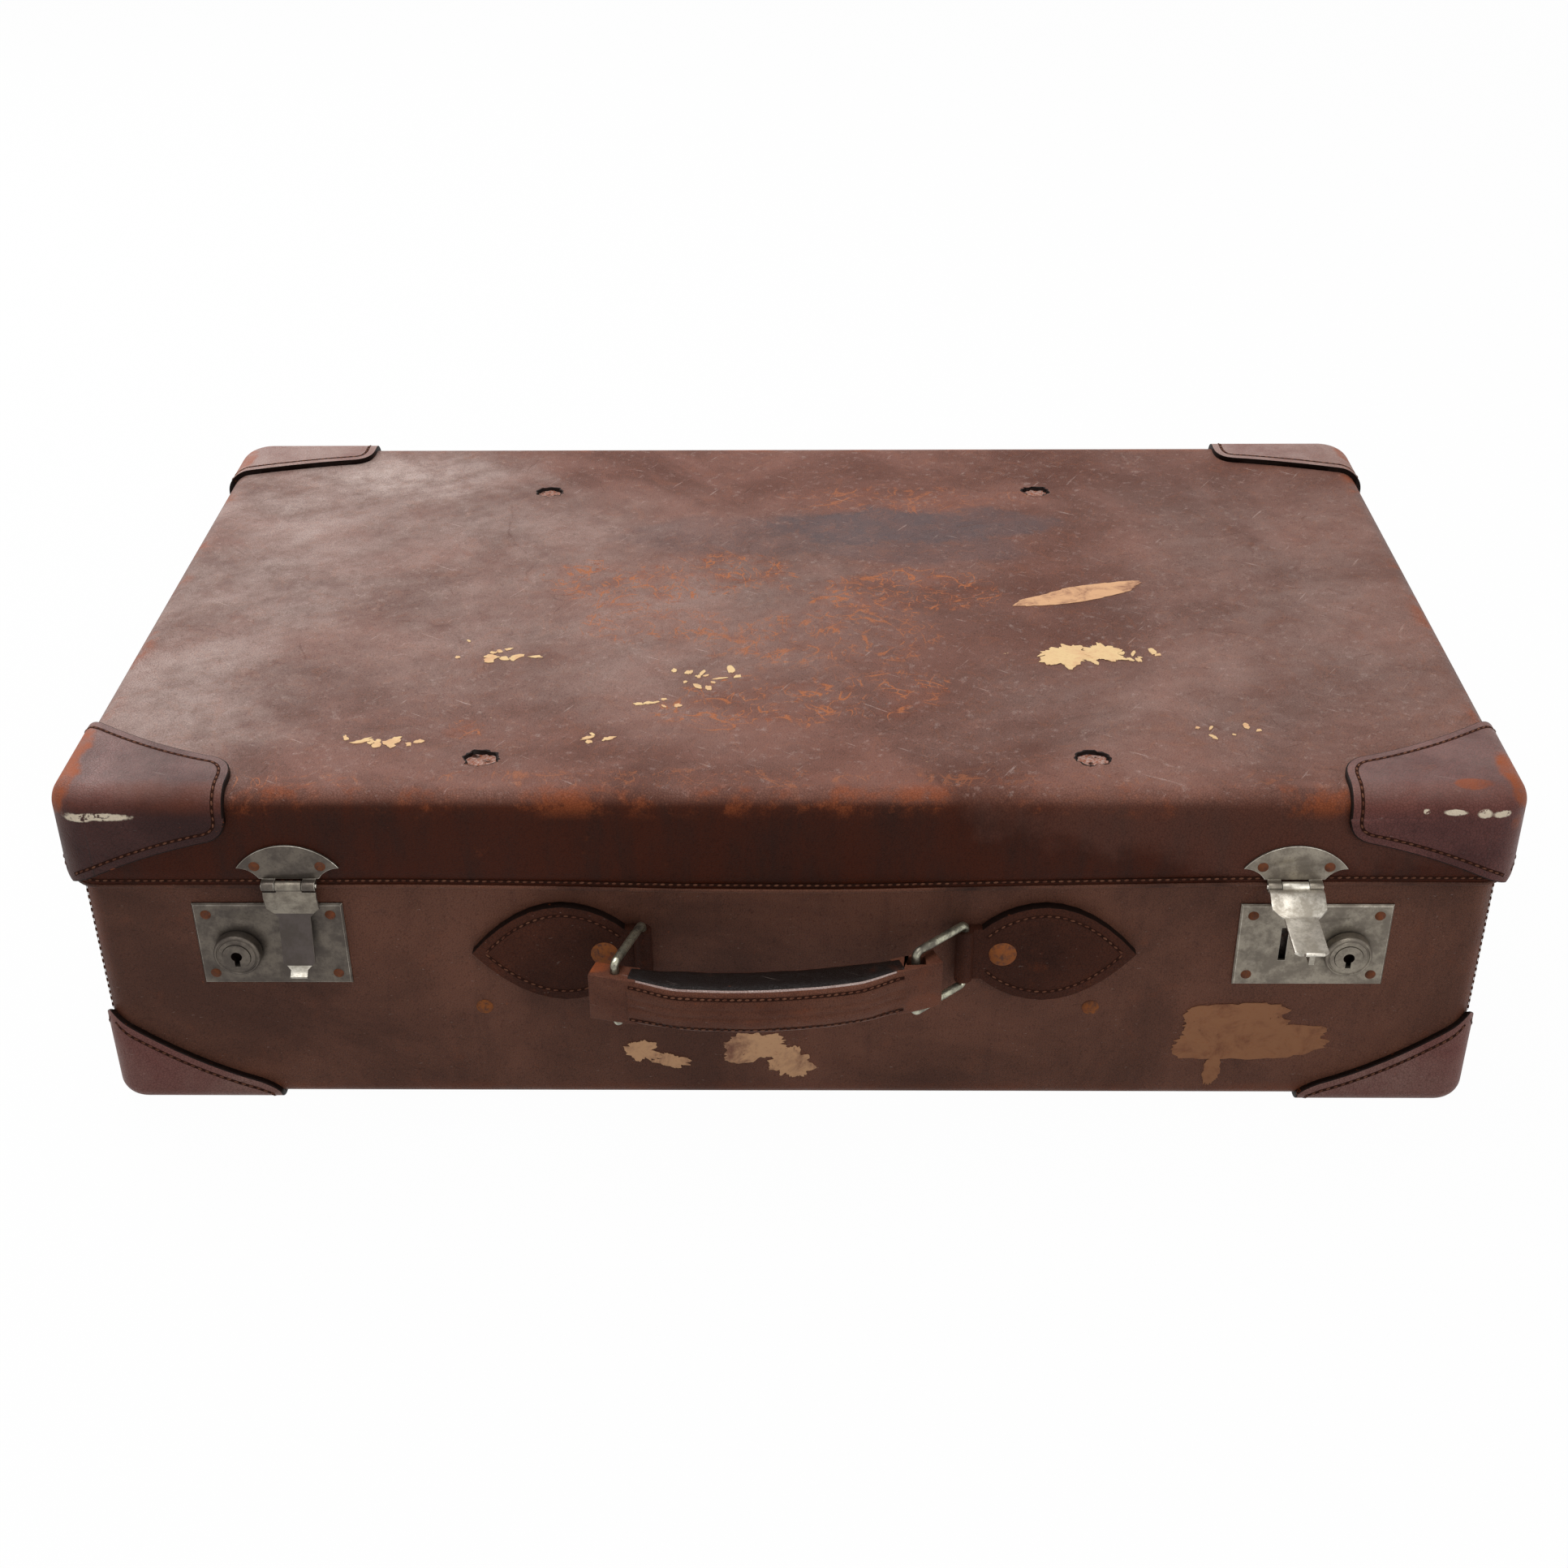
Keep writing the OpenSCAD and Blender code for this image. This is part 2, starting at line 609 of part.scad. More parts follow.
// The sliding knob with its key plug, and the bolt that it carries behind the plate
module at_knob(s) at_lock(s) translate([knob_out, 0, -knob_low]) children();
module lock_knob(s) color(steel) place() at_knob(s) difference() {
    union() {
        rod_y(-plate_t - lock_gap - knob_h, knob_h, knob_d / 2);
        rod_y(-plate_t - lock_gap - cut, plate_t + 2 * lock_gap + cut, knob_stem / 2);
    }
    rod_y(-plate_t - lock_gap - knob_h - cut, plug_depth + cut, plug_d / 2 + run_gap);
}
module lock_bolt(s) color(steel) place() at_lock(s) {
    root = knob_out - knob_stem;
    tip = hook_t / 2 - hasp_in + bolt_back;
    carrier = knob_stem * 1.4;
    translate([0, lock_gap, 0]) {
        translate([root, 0, -knob_low - carrier / 2]) cube([knob_out - root + knob_stem * 0.6, bolt_t, carrier]);
        translate([tip, 0, hook_z - lock_z - nose_h / 2]) cube([root - tip + cut, bolt_t, nose_h]);
    }
}
module at_knob_face(s) at_knob(s) translate([0, -plate_t - lock_gap - knob_h, 0]) children();
module key_plug(s) color(steel) place() at_knob_face(s) difference() {
    keyhole_r = plug_d * 0.2;
    ward_w = plug_d * 0.19;
    ward_h = plug_d * 0.42;
    rod_y(-plug_proud, plug_depth + plug_proud, plug_d / 2);
    rod_y(-cut, plug_depth, keyhole_r);
    translate([-ward_w / 2, -cut, -ward_h]) cube([ward_w, plug_depth, ward_h]);
}

// The hasps on the lid, drawn closed about their pin and then lifted
module at_hasp(s)
    translate([lock_shift, 0, 0]) side(s) translate([lock_x - hasp_in, hasp_y, hasp_z]) children();
module hasp_plate(s) color(steel) place() at_hasp(s) difference() {
    plate_y = lid_front - hasp_y;
    foot = rim_strip_out + 0.2;
    join = 1.5;
    tip_z = fan_h * 0.4;
    arc_r = (fan_w * fan_w / 4 + pow(fan_h - tip_z, 2)) / (2 * (fan_h - tip_z));
    scoop = (fan_w - hasp_hinge_w) / 2;
    union() {
        along_y(plate_y - hasp_t, hasp_t) difference() {
            intersection() {
                translate([0, fan_h - arc_r]) circle(arc_r);
                translate([-fan_w / 2, hasp_barrel_r]) square([fan_w, fan_h]);
            }
            for (x = [-1, 1]) translate([x * fan_w / 2, tip_z - scoop]) circle(scoop);
        }
        for (x = [-hasp_hinge_w / 2, hasp_hinge_w / 2 - knuckle_w]) {
            rod_x(x, knuckle_w, hasp_barrel_r);
            translate([x, 0, 0]) cube([knuckle_w, plate_y - foot, hasp_barrel_r]);
            translate([x, plate_y - hasp_t, hasp_barrel_r - join])
                cube([knuckle_w, hasp_t - foot, join + cut]);
        }
    }
    rod_x(-hasp_hinge_w, 2 * hasp_hinge_w, hasp_pin_d / 2 + run_gap);
    hasp_rivet_places(plate_y - hasp_t - cut) rod_y(0, hasp_t + 2 * cut, hole_r);
}
module hasp_rivet_places(y) {
    for (x = [-1, 1]) translate([x * fan_w * 0.32, y, fan_h * 0.45]) children();
}
module hasp_plate_rivets(s) color(rust) place() at_hasp(s) hasp_rivet_places(lid_front - hasp_y - hasp_t)
    rivet(rivet_head, rivet_dome, rivet_shank, hasp_t + lid_wall);
module hasp_pin(s) color(steel) place() at_hasp(s)
    rod_x(-hasp_hinge_w / 2 - pin_end, hasp_hinge_w + 2 * pin_end, hasp_pin_d / 2);

module hasp(s, lift) color(steel) place() at_hasp(s) rotate([-lift, 0, 0]) difference() {
    tip = -hasp_len;
    under = -hasp_barrel_r - barrel_room;
    half = tongue_w / 2;
    finger = half * 0.55;
    shoulder = hasp_hinge_w / 2;
    neck = shoulder - knuckle_w - side_gap;
    union() {
        rod_x(-neck, 2 * neck, hasp_barrel_r);
        intersection() {
            along_x(-fan_w, 2 * fan_w) polygon(hasp_section);
            along_y(-hasp_len, 2 * hasp_len) polygon(both_sides([
                [neck, 0], [neck, under], [shoulder, under], [shoulder, 3 - tongue_start],
                [half, -tongue_start - 2], [half, tip + 6], [finger, tip + 3], [finger, tip - cut]
            ]));
        }
        translate([-hook_t / 2, tongue_in, -hook_drop - hook_h / 2])
            cube([hook_t, hook_tip - tongue_y, hook_h]);
    }
    rod_x(-hasp_hinge_w, 2 * hasp_hinge_w, hasp_pin_d / 2 + run_gap);
    eye_gap = lock_gap * 0.7;
    translate([-hook_t, bolt_front - eye_gap - hasp_y, -hook_drop - nose_h / 2 - 2 * eye_gap])
        cube([2 * hook_t, bolt_t + 2 * eye_gap, nose_h + 4 * eye_gap]);
}

// The lid
module lid_shell() color(lid_leather) place() difference() {
    lid_block();
    lid_room(0, lid_z - cut);
    for (s = [-1, 1]) {
        for (y = [lid_front + hole_front, -lid_front - hole_rear])
            side(s) translate([case_w / 2 - hole_side, y, case_h - hole_depth])
                linear_extrude(hole_depth + cut) stadium(hole_len - hole_wid, hole_wid);
        at_hasp(s) hasp_rivet_places(lid_front - hasp_y) rod_y(-cut, lid_wall + 2 * cut, hole_r);
        side(s) hinge_places(case_d / 2 - lid_wall, hinge_lid_z) rod_y(-cut, lid_wall + 2 * cut, hole_r);
    }
}
module lid_lining() color(cloth) place() difference() {
    lid_room(lining_gap, lining_low);
    lid_room(lining_gap + lining_t, lining_low - cut);
}
module lid_rim_strip() color(tab_leather) place() difference() {
    translate([0, 0, rim_z]) linear_extrude(rim_strip_h)
        plan(case_w + 2 * rim_strip_out, case_d + 2 * rim_strip_out, corner_r + rim_strip_out);
    translate([0, 0, rim_z - cut]) linear_extrude(rim_strip_h + 2 * cut)
        plan(case_w - 2 * lid_wall, case_d - 2 * lid_wall, corner_r - lid_wall);
}

// The rear hinges: the base's leaf has the two outer knuckles, the lid's leaf the middle one
module at_pin(s) side(s) translate([hinge_x, pin_y, pin_z]) children();
module leaf_section(wall, sign) {
    face = wall - pin_y + hinge_t / 2;
    crank = 7;
    polygon(ribbon([
        [face, sign * hinge_leaf], [face, sign * crank], [-hinge_t / 2, sign * barrel_r * 0.7]
    ], hinge_t));
}
module hinge_base_leaf(s) color(steel) place() difference() {
    at_pin(s) {
        difference() {
            along_x(-hinge_w / 2, hinge_w) leaf_section(base_d / 2, -1);
            translate([-middle_w / 2 - side_gap, -barrel_r - 1.2, -barrel_r - 1])
                cube([middle_w + 2 * side_gap, 2 * barrel_r + 2, 2 * barrel_r + 2]);
        }
        for (x = [-hinge_w / 2, hinge_w / 2 - outer_w]) rod_x(x, outer_w, barrel_r);
    }
    at_pin(s) rod_x(-hinge_w, 2 * hinge_w, hinge_pin_d / 2 + run_gap);
    side(s) hinge_places(base_d / 2, hinge_base_z) rod_y(-cut, hinge_t + 2 * cut, hole_r);
}
module hinge_lid_leaf(s) color(steel) place() difference() {
    at_pin(s) {
        difference() {
            along_x(-hinge_w / 2, hinge_w) leaf_section(case_d / 2, 1);
            for (x = [-hinge_w / 2 - cut, middle_w / 2]) translate([x, -barrel_r - 1, -barrel_r - 1])
                cube([outer_w + side_gap + cut, 2 * barrel_r + 2, 2 * barrel_r + 2]);
        }
        rod_x(-middle_w / 2, middle_w, barrel_r);
    }
    at_pin(s) rod_x(-hinge_w, 2 * hinge_w, hinge_pin_d / 2 + run_gap);
    side(s) hinge_places(case_d / 2, hinge_lid_z) rod_y(-cut, hinge_t + 2 * cut, hole_r);
}
module hinge_pin(s) color(steel) place() at_pin(s)
    rod_x(-hinge_w / 2 - pin_end, hinge_w + 2 * pin_end, hinge_pin_d / 2);
module rear_rivets(s, y, z, depth) color(rust) place() side(s) hinge_places(y, z)
    mirror([0, 1, 0]) rivet(rivet_head, rivet_dome, rivet_shank, depth);

// The carrying handle: two wire loops, and a grip that bows between them
module handle_loop(pivot, lean) color(nickel) place()
    translate([pivot[0], pivot[1], handle_z]) rotate([90, 0, -90 - lean]) {
        upright = loop_h / 2 - wire_bend;
        for (x = [0, loop_len]) translate([x, 0, 0]) rod_y(-upright, 2 * upright, wire_d / 2);
        for (y = [-1, 1]) translate([0, y * loop_h / 2, 0])
            rod_x(wire_bend, loop_len - 2 * wire_bend, wire_d / 2);
        for (corner = [0:3]) translate([
            corner == 0 || corner == 3 ? loop_len - wire_bend : wire_bend,
            corner < 2 ? upright : -upright, 0
        ]) rotate([0, 0, 90 * corner]) rotate_extrude(angle = 90)
            translate([wire_bend, 0]) circle(d = wire_d);
    }
module handle_arc(from, to) translate([grip_centre[0], grip_centre[1], handle_z])
    rotate([0, 0, handle_yaw - 90 + from]) rotate_extrude(angle = to - from, $fn = 96)
        translate([grip_r, 0]) children();
module handle_grip() color(tab_leather) place() difference() {
    handle_arc(-grip_angle, grip_angle) translate([0, -grip_h / 2])
        rounded_rect(grip_d, grip_h, grip_round, grip_round);
    handle_arc(-grip_angle - cut, grip_angle + cut) circle(d = core_d + 2 * core_gap);
}
module handle_core() color(cloth) place() handle_arc(-grip_angle, grip_angle) circle(d = core_d);
module handle_end_left() color(tab_leather) place() difference() {
    handle_arc(-end_angle, -grip_angle) square([end_t, end_h], center = true);
    translate([bar_left[0], bar_left[1], handle_z - end_h])
        cylinder(h = 2 * end_h, d = wire_d + 2 * run_gap);
}
module handle_end_right() color(tab_leather) place() difference() {
    handle_arc(grip_angle, end_angle) square([end_t, end_h], center = true);
    translate([bar_right[0], bar_right[1], handle_z - end_h]) rotate([0, 0, handle_yaw])
        linear_extrude(2 * end_h) translate([0, slot_across / 4])
            square([wire_d + slot_along, wire_d + slot_across], center = true);
}

base_shell();
base_lining();
base_binding();
base_cap(-1, false);  // base_cap_front_left
base_cap(1, false);  // base_cap_front_right
base_cap(-1, true);  // base_cap_rear_left
base_cap(1, true);  // base_cap_rear_right
handle_tab(-1);  // handle_tab_left
handle_tab(1);  // handle_tab_right
tab_rivet(-1);  // tab_rivet_left
tab_rivet(1);  // tab_rivet_right
wall_rivet(-1);  // wall_rivet_left
wall_rivet(1);  // wall_rivet_right
lock_plate(-1);  // lock_plate_left
lock_plate(1);  // lock_plate_right
lock_case(-1);  // lock_case_left
lock_case(1);  // lock_case_right
lock_rivets(-1);  // lock_rivets_left
lock_rivets(1);  // lock_rivets_right
hinge_base_leaf(-1);  // hinge_base_leaf_left
hinge_base_leaf(1);  // hinge_base_leaf_right
hinge_pin(-1);  // hinge_pin_left
hinge_pin(1);  // hinge_pin_right
rear_rivets(-1, base_d / 2 + hinge_t, hinge_base_z, hinge_t + base_wall);  // hinge_base_rivets_left
rear_rivets(1, base_d / 2 + hinge_t, hinge_base_z, hinge_t + base_wall);  // hinge_base_rivets_right
lid_shell();
lid_lining();
lid_rim_strip();
lid_cap(-1, false);  // lid_cap_front_left
lid_cap(1, false);  // lid_cap_front_right
lid_cap(-1, true);  // lid_cap_rear_left
lid_cap(1, true);  // lid_cap_rear_right
hasp_plate(-1);  // hasp_plate_left
hasp_plate(1);  // hasp_plate_right
hasp_plate_rivets(-1);  // hasp_plate_rivets_left
hasp_plate_rivets(1);  // hasp_plate_rivets_right
hasp_pin(-1);  // hasp_pin_left
hasp_pin(1);  // hasp_pin_right
hinge_lid_leaf(-1);  // hinge_lid_leaf_left
hinge_lid_leaf(1);  // hinge_lid_leaf_right
rear_rivets(-1, case_d / 2 + hinge_t, hinge_lid_z, hinge_t + lid_wall);  // hinge_lid_rivets_left
rear_rivets(1, case_d / 2 + hinge_t, hinge_lid_z, hinge_t + lid_wall);  // hinge_lid_rivets_right
hasp(-1, lift_left);  // hasp_left
hasp(1, lift_right);  // hasp_right
lock_knob(-1);  // lock_knob_left
lock_knob(1);  // lock_knob_right
lock_bolt(-1);  // lock_bolt_left
lock_bolt(1);  // lock_bolt_right
key_plug(-1);  // key_plug_left
key_plug(1);  // key_plug_right
handle_loop(pivot_left, lean_loop_left);  // handle_loop_left
handle_loop(pivot_right, lean_loop_right);  // handle_loop_right
handle_grip();
handle_core();
handle_end_left();
handle_end_right();
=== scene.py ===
"""Looks of an old leather suitcase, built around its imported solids."""

import json
import math

import bmesh
import bpy
from mathutils import Matrix, Vector, noise

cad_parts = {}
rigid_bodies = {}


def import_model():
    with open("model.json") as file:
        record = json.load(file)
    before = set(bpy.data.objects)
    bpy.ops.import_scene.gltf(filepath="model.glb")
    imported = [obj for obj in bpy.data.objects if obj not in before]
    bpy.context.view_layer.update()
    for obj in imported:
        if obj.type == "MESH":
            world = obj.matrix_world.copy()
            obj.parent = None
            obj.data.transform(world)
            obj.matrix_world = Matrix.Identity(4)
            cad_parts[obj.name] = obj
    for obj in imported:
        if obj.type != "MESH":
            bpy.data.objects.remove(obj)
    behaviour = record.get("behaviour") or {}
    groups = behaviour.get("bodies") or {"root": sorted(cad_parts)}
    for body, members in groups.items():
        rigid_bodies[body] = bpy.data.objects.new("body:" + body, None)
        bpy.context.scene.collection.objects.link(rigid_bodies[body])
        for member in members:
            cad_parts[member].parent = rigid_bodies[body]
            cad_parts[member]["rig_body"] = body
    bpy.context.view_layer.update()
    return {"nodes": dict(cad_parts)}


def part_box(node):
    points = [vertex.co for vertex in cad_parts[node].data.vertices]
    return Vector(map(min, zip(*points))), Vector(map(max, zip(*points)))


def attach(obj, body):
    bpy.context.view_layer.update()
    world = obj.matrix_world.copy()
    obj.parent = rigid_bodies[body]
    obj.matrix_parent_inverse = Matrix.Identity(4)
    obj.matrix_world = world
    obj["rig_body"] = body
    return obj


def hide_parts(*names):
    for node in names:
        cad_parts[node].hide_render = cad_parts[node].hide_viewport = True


bl_info = {
    "name": "Old Leather Suitcase",
    "version": (1, 0, 0),
    "blender": (4, 5, 0),
    "location": "View3D > Sidebar > Suitcase",
    "description": "Dresses the packed solids of an old leather suitcase",
    "category": "Object",
}

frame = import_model()
MM = 0.001
SIDES = ("left", "right")
LID_LOW, LID_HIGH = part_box("lid_shell")
BASE_LOW, BASE_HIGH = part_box("base_shell")
CASE_MID_Y = (LID_LOW.y + LID_HIGH.y) / 2
CAP_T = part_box("lid_cap_front_left")[1].z - LID_HIGH.z
LID_CORNER = 16 * MM
LID_EDGE = 9.5 * MM
BASE_CORNER = 12.2 * MM
BASE_EDGE = 6 * MM
BASE_WALL = 3.9 * MM
CLOTH_T = 0.8 * MM
# Height of the lid's top, in millimetres
LID_TOP = 178
CORNER_STEPS = 8
# How near a point must be to lie on a wall
ON_WALL = 1 * MM
GROOVE_LIFT = 0.06 * MM
BEAD_BATCH = 600


def spot_at(x, y, z=0):
    """A place in the frame, from millimetres off the lid's middle and above the floor."""
    return Vector((x * MM, y * MM + CASE_MID_Y, z * MM))


def tint(text):
    """A scene colour from the usual six hexadecimal digits."""
    parts = [int(text[i:i + 2], 16) / 255 for i in (1, 3, 5)]
    return [c / 12.92 if c < 0.04045 else ((c + 0.055) / 1.055) ** 2.4 for c in parts]


def colour(name, description, default):
    return bpy.props.FloatVectorProperty(
        name=name, description=description, default=tint(default), subtype="COLOR", size=3, min=0, max=1
    )


def length(name, description, default):
    return bpy.props.FloatProperty(
        name=name, description=description, default=default * MM, min=0, unit="LENGTH", precision=5
    )


class SuitcaseColours(bpy.types.PropertyGroup):
    """Colours of the leathers, metals, thread, paper and cloth."""

    lid: colour("Lid", "Middle tone of the lid's leather", "#7b5347")
    lid_deep: colour("Lid shade", "Dark patches of the lid's leather", "#5b392f")
    # The lid's walls are darker partly for their wax and partly as painted shade.
    lid_walls_wax_and_shade: colour("Lid walls", "Waxed leather on the lid's walls", "#451e10")
    # Pale bloom, and painted sheen: this pale tone also stands for the light glancing off the lid's top and
    # for the highlight along the handle.
    dust_and_sheen: colour("Bloom", "Pale bloom on the lid's top", "#bca9a1")
    stain: colour("Stain", "Blue-grey stain on the lid's top", "#4f484b")
    scuff: colour("Scuff", "Raw leather where the surface is rubbed away", "#8f4a2a")
    scratch: colour("Scratches", "Fresh scratches in the lid's top", "#a8653f")
    cream: colour("Bare board", "Board and paper that show through", "#dcbd8e")
    hide: colour("Bare hide", "Raw hide where a cap's skin is scraped away", "#e3d3bb")
    base: colour("Base", "Middle tone of the base's leather", "#744a39")
    base_deep: colour("Base shade", "Dark patches of the base's leather", "#503227")
    cap: colour("Caps", "Middle tone of the corner caps", "#714540")
    cap_deep: colour("Cap shade", "Dark patches of the corner caps", "#4a2b29")
    # Painted light: the base caps' tone is lighter and greyer, standing for the pale floor's light on them.
    base_cap: colour("Base caps", "Middle tone of the base's corner caps, greyed by the floor", "#8a6a61")
    tab: colour("Tabs", "Leather of the handle and its tabs", "#522d20")
    tab_deep: colour("Tab shade", "Dark patches of the handle and its tabs", "#321c15")
    # This black also stands for painted shade: the dark patch on the front left cap, the inside of the
    # keyholes, and painted shadow along the caps' and tabs' rounded edges.
    edge: colour("Cut edges", "Blackened cut edges of the leather", "#170e0b")
    thread: colour("Thread", "Waxed sewing thread", "#6f4937")
    steel: colour("Steel", "Bare steel of the right lock", "#8a8275")
    # The left side's metal is darker as painted shade, because more light falls on the right.
    dull: colour("Dull steel", "Duller steel of the left lock", "#655d54")
    tarnish: colour("Tarnish", "Dark spots on the steel", "#4b443f")
    blued: colour("Blued steel", "Tongue of the left hasp", "#544c49")
    # Rubbed steel, partly painted highlight: it brightens the metal's rounded edges, the pins, the right hasp
    # and the left hasp's tip.
    bright: colour("Worn steel", "Edges of the steel that are rubbed bright", "#d2ccc0")
    rust: colour("Rust", "Rust on rivets and in corners", "#6d3f26")
    rivet: colour("Rivets", "Brighter rust of the tab and wall rivets", "#8a5028")
    nickel: colour("Nickel", "Plating of the wire loops", "#c3c1aa")
    paper: colour("Paper", "Torn paper", "#cfa27c")
    label: colour("Label", "Stained label on the base", "#96694c")
    cloth: colour("Lining", "Lining of the base and the lid", "#b59a70")


class SuitcaseSizes(bpy.types.PropertyGroup):
    """Sizes of the sewing, the wear and the leather's unevenness."""

    stitch_pitch: length("Stitch pitch", "Distance from one stitch to the next", 3.7)
    stitch_len: length("Stitch length", "Length of one stitch", 2.5)
    thread_d: length("Thread", "Thickness of the sewing thread", 1.05)
    groove: length("Groove", "Width of the groove that a seam lies in", 1.6)
    seam_in: length("Seam inset", "Distance from a cut edge to its seam", 4.8)
    rim_seam: length("Rim seam", "Height of the lid's seam above its rim", 4.2)
    skin: length("Skin", "Thickness of the lid's leather and board", 2.2)
    dents: length("Dents", "Depth of the dents in the lid's top", 0.9)
    rim_left: length("Rim lift left", "Lift of the lid's rim at the left lock", 1.6)
    rim_right: length("Rim lift right", "Lift of the lid's rim at the right lock", 3.6)
    cap_round: length("Cap rounding", "Rounding of the caps' cut edges", 1.0)
    tab_round: length("Tab rounding", "Rounding of the tabs' edges", 2.6)
    metal_round: length("Metal rounding", "Rounding of the metal's edges", 0.6)


def colours():
    return bpy.context.scene.suitcase_colours


def sizes():
    return bpy.context.scene.suitcase_sizes


# Mesh tools


def object_from(name, bm):
    """Turns a bmesh into an object at the origin."""
    mesh = bpy.data.meshes.new(name)
    bm.to_mesh(mesh)
    bm.free()
    thing = bpy.data.objects.new(name, mesh)
    bpy.context.scene.collection.objects.link(thing)
    return thing


def finish_piece(name, bm, finishes, body, nodes=(), sharp=40):
    """A smooth-shaded piece that rides on a body and stands for CAD nodes."""
    bmesh.ops.recalc_face_normals(bm, faces=bm.faces[:])
    piece = object_from(name, bm)
    mesh = piece.data
    mesh.polygons.foreach_set("use_smooth", [True] * len(mesh.polygons))
    mesh.set_sharp_from_angle(angle=math.radians(sharp))
    for finish in finishes.split():
        mesh.materials.append(FINISHES[finish])
    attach(piece, body)
    if nodes:
        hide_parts(*nodes)
    return piece


def thicken(piece, name, thickness):
    """Gives a one-sided piece its thickness, inward."""
    wall = piece.modifiers.new(name, "SOLIDIFY")
    wall.thickness = thickness
    wall.offset = -1


def copy_of(node):
    """A bmesh of a CAD node's own mesh, its triangles joined and its flat faces whole."""
    bm = bmesh.new()
    bm.from_mesh(frame["nodes"][node].data)
    bmesh.ops.remove_doubles(bm, verts=bm.verts[:], dist=0.002 * MM)
    bmesh.ops.dissolve_limit(
        bm, angle_limit=math.radians(0.5), verts=bm.verts[:], edges=bm.edges[:], use_dissolve_boundaries=False
    )
    return bm


def round_edges(bm, edges, width, segments=3):
    return bmesh.ops.bevel(
        bm, geom=edges, offset=width, offset_type="OFFSET", affect="EDGES", segments=segments,
        profile=0.5, material=-1, clamp_overlap=True
    )


def sharp_edges(bm, degrees):
    limit = math.radians(degrees)
    return [e for e in bm.edges if len(e.link_faces) == 2 and e.calc_face_angle(0) > limit]


def border(bm, faces):
    """The edges between the faces and the other faces."""
    return [e for e in bm.edges if len(e.link_faces) == 2 and len(faces & set(e.link_faces)) == 1]


def around(verts):
    """The edges of a new ring of vertices, each once and in order."""
    return list(dict.fromkeys(e for v in verts for e in v.link_edges))


def paint(faces, index):
    for face in faces:
        face.material_index = index


def grow(bm, edges):
    """Extrudes a ring of edges; returns the new ring's vertices and edges, and the faces between."""
    geom = bmesh.ops.extrude_edge_only(bm, edges=edges)["geom"]
    verts = {part for part in geom if isinstance(part, bmesh.types.BMVert)}
    ring = [part for part in geom if isinstance(part, bmesh.types.BMEdge) and verts.issuperset(part.verts)]
    return verts, ring, [part for part in geom if isinstance(part, bmesh.types.BMFace)]


def open_box(bm, low, high, corner, edge, open_top):
    """A box with rounded upright edges and a rounded closed end, open at its other end."""
    middle, size = (low + high) / 2, high - low
    bmesh.ops.create_cube(bm, size=1, matrix=Matrix.Translation(middle) @ Matrix.Diagonal((*size, 1)))
    ends = sorted(bm.faces, key=lambda f: f.calc_center_median().z, reverse=open_top)
    bmesh.ops.delete(bm, geom=[ends[0]], context="FACES_ONLY")
    upright = [e for e in bm.edges if abs(e.verts[0].co.z - e.verts[1].co.z) > size.z / 2]
    round_edges(bm, upright, corner, CORNER_STEPS)
    shut = low.z if open_top else high.z
    rim = [e for e in bm.edges if all(abs(v.co.z - shut) < 1e-6 for v in e.verts)]
    round_edges(bm, rim, edge, CORNER_STEPS - 2)


def slice_up(bm, axis, places):
    """Cuts all faces by planes across one axis."""
    across = Vector([float(i == axis) for i in range(3)])
    for place in places:
        bmesh.ops.bisect_plane(
            bm, geom=bm.verts[:] + bm.edges[:] + bm.faces[:], plane_co=across * place, plane_no=across
        )


def steps(low, high, pitch):
    count = max(1, round((high - low) / pitch))
    return [low + (high - low) * i / count for i in range(1, count)]


def dice(bm, low, high, pitches, marks=((), (), ())):
    """Cuts all faces across each axis, about a pitch in millimetres apart and at marks."""
    for axis, pitch in enumerate(pitches):
        slice_up(bm, axis, sorted({*steps(low[axis], high[axis], pitch * MM), *marks[axis]}))


def bend(a, b, c, count):
    """Points of a bent line from a to c, drawn towards b."""
    return [(1 - t) ** 2 * a + 2 * t * (1 - t) * b + t * t * c for t in (i / count for i in range(count + 1))]


def drawn_in(line, inset):
    """A flat line, moved to its left by an inset."""
    drawn = []
    for i, p in enumerate(line):
        way = (line[min(i + 1, len(line) - 1)] - line[max(i - 1, 0)]).normalized()
        drawn.append(p + Vector((-way.y, way.x)) * inset)
    return drawn


def smooth(low, high, value):
    t = min(1, max(0, (value - low) / (high - low)))
    return t * t * (3 - 2 * t)


def wobble(point, size, seed=0):
    return noise.noise(Vector(point) / size + Vector((seed * 7.3, seed * 3.1, seed * 5.7)))


def rim_lift(x, y):
    """How far the lid's rim is lifted or sags, along the front."""
    s = sizes()
    front = smooth(CASE_MID_Y, LID_LOW.y + 20 * MM, y)
    left = s.rim_left * smooth(0, -200 * MM, x)
    right = s.rim_right * smooth(20 * MM, 250 * MM, x)
    sag = -0.9 * MM * smooth(140 * MM, 0, abs(x))
    return front * (left + right + sag) + 0.35 * MM * wobble((x, y, 0), 60 * MM, 3)


def groove_along(bm, path, half):
    """The strip that a seam lies in, just off the leather, darkened with painted shade."""
    rails = []
    for i, (point, normal) in enumerate(path):
        along = (path[min(i + 1, len(path) - 1)][0] - path[max(i - 1, 0)][0]).normalized()
        across = normal.cross(along).normalized() * half
        lifted = point + normal * GROOVE_LIFT
        rails.append((bm.verts.new(lifted - across), bm.verts.new(lifted + across)))
    for (a, b), (c, d) in zip(rails, rails[1:]):
        bm.faces.new((a, c, d, b)).material_index = 1


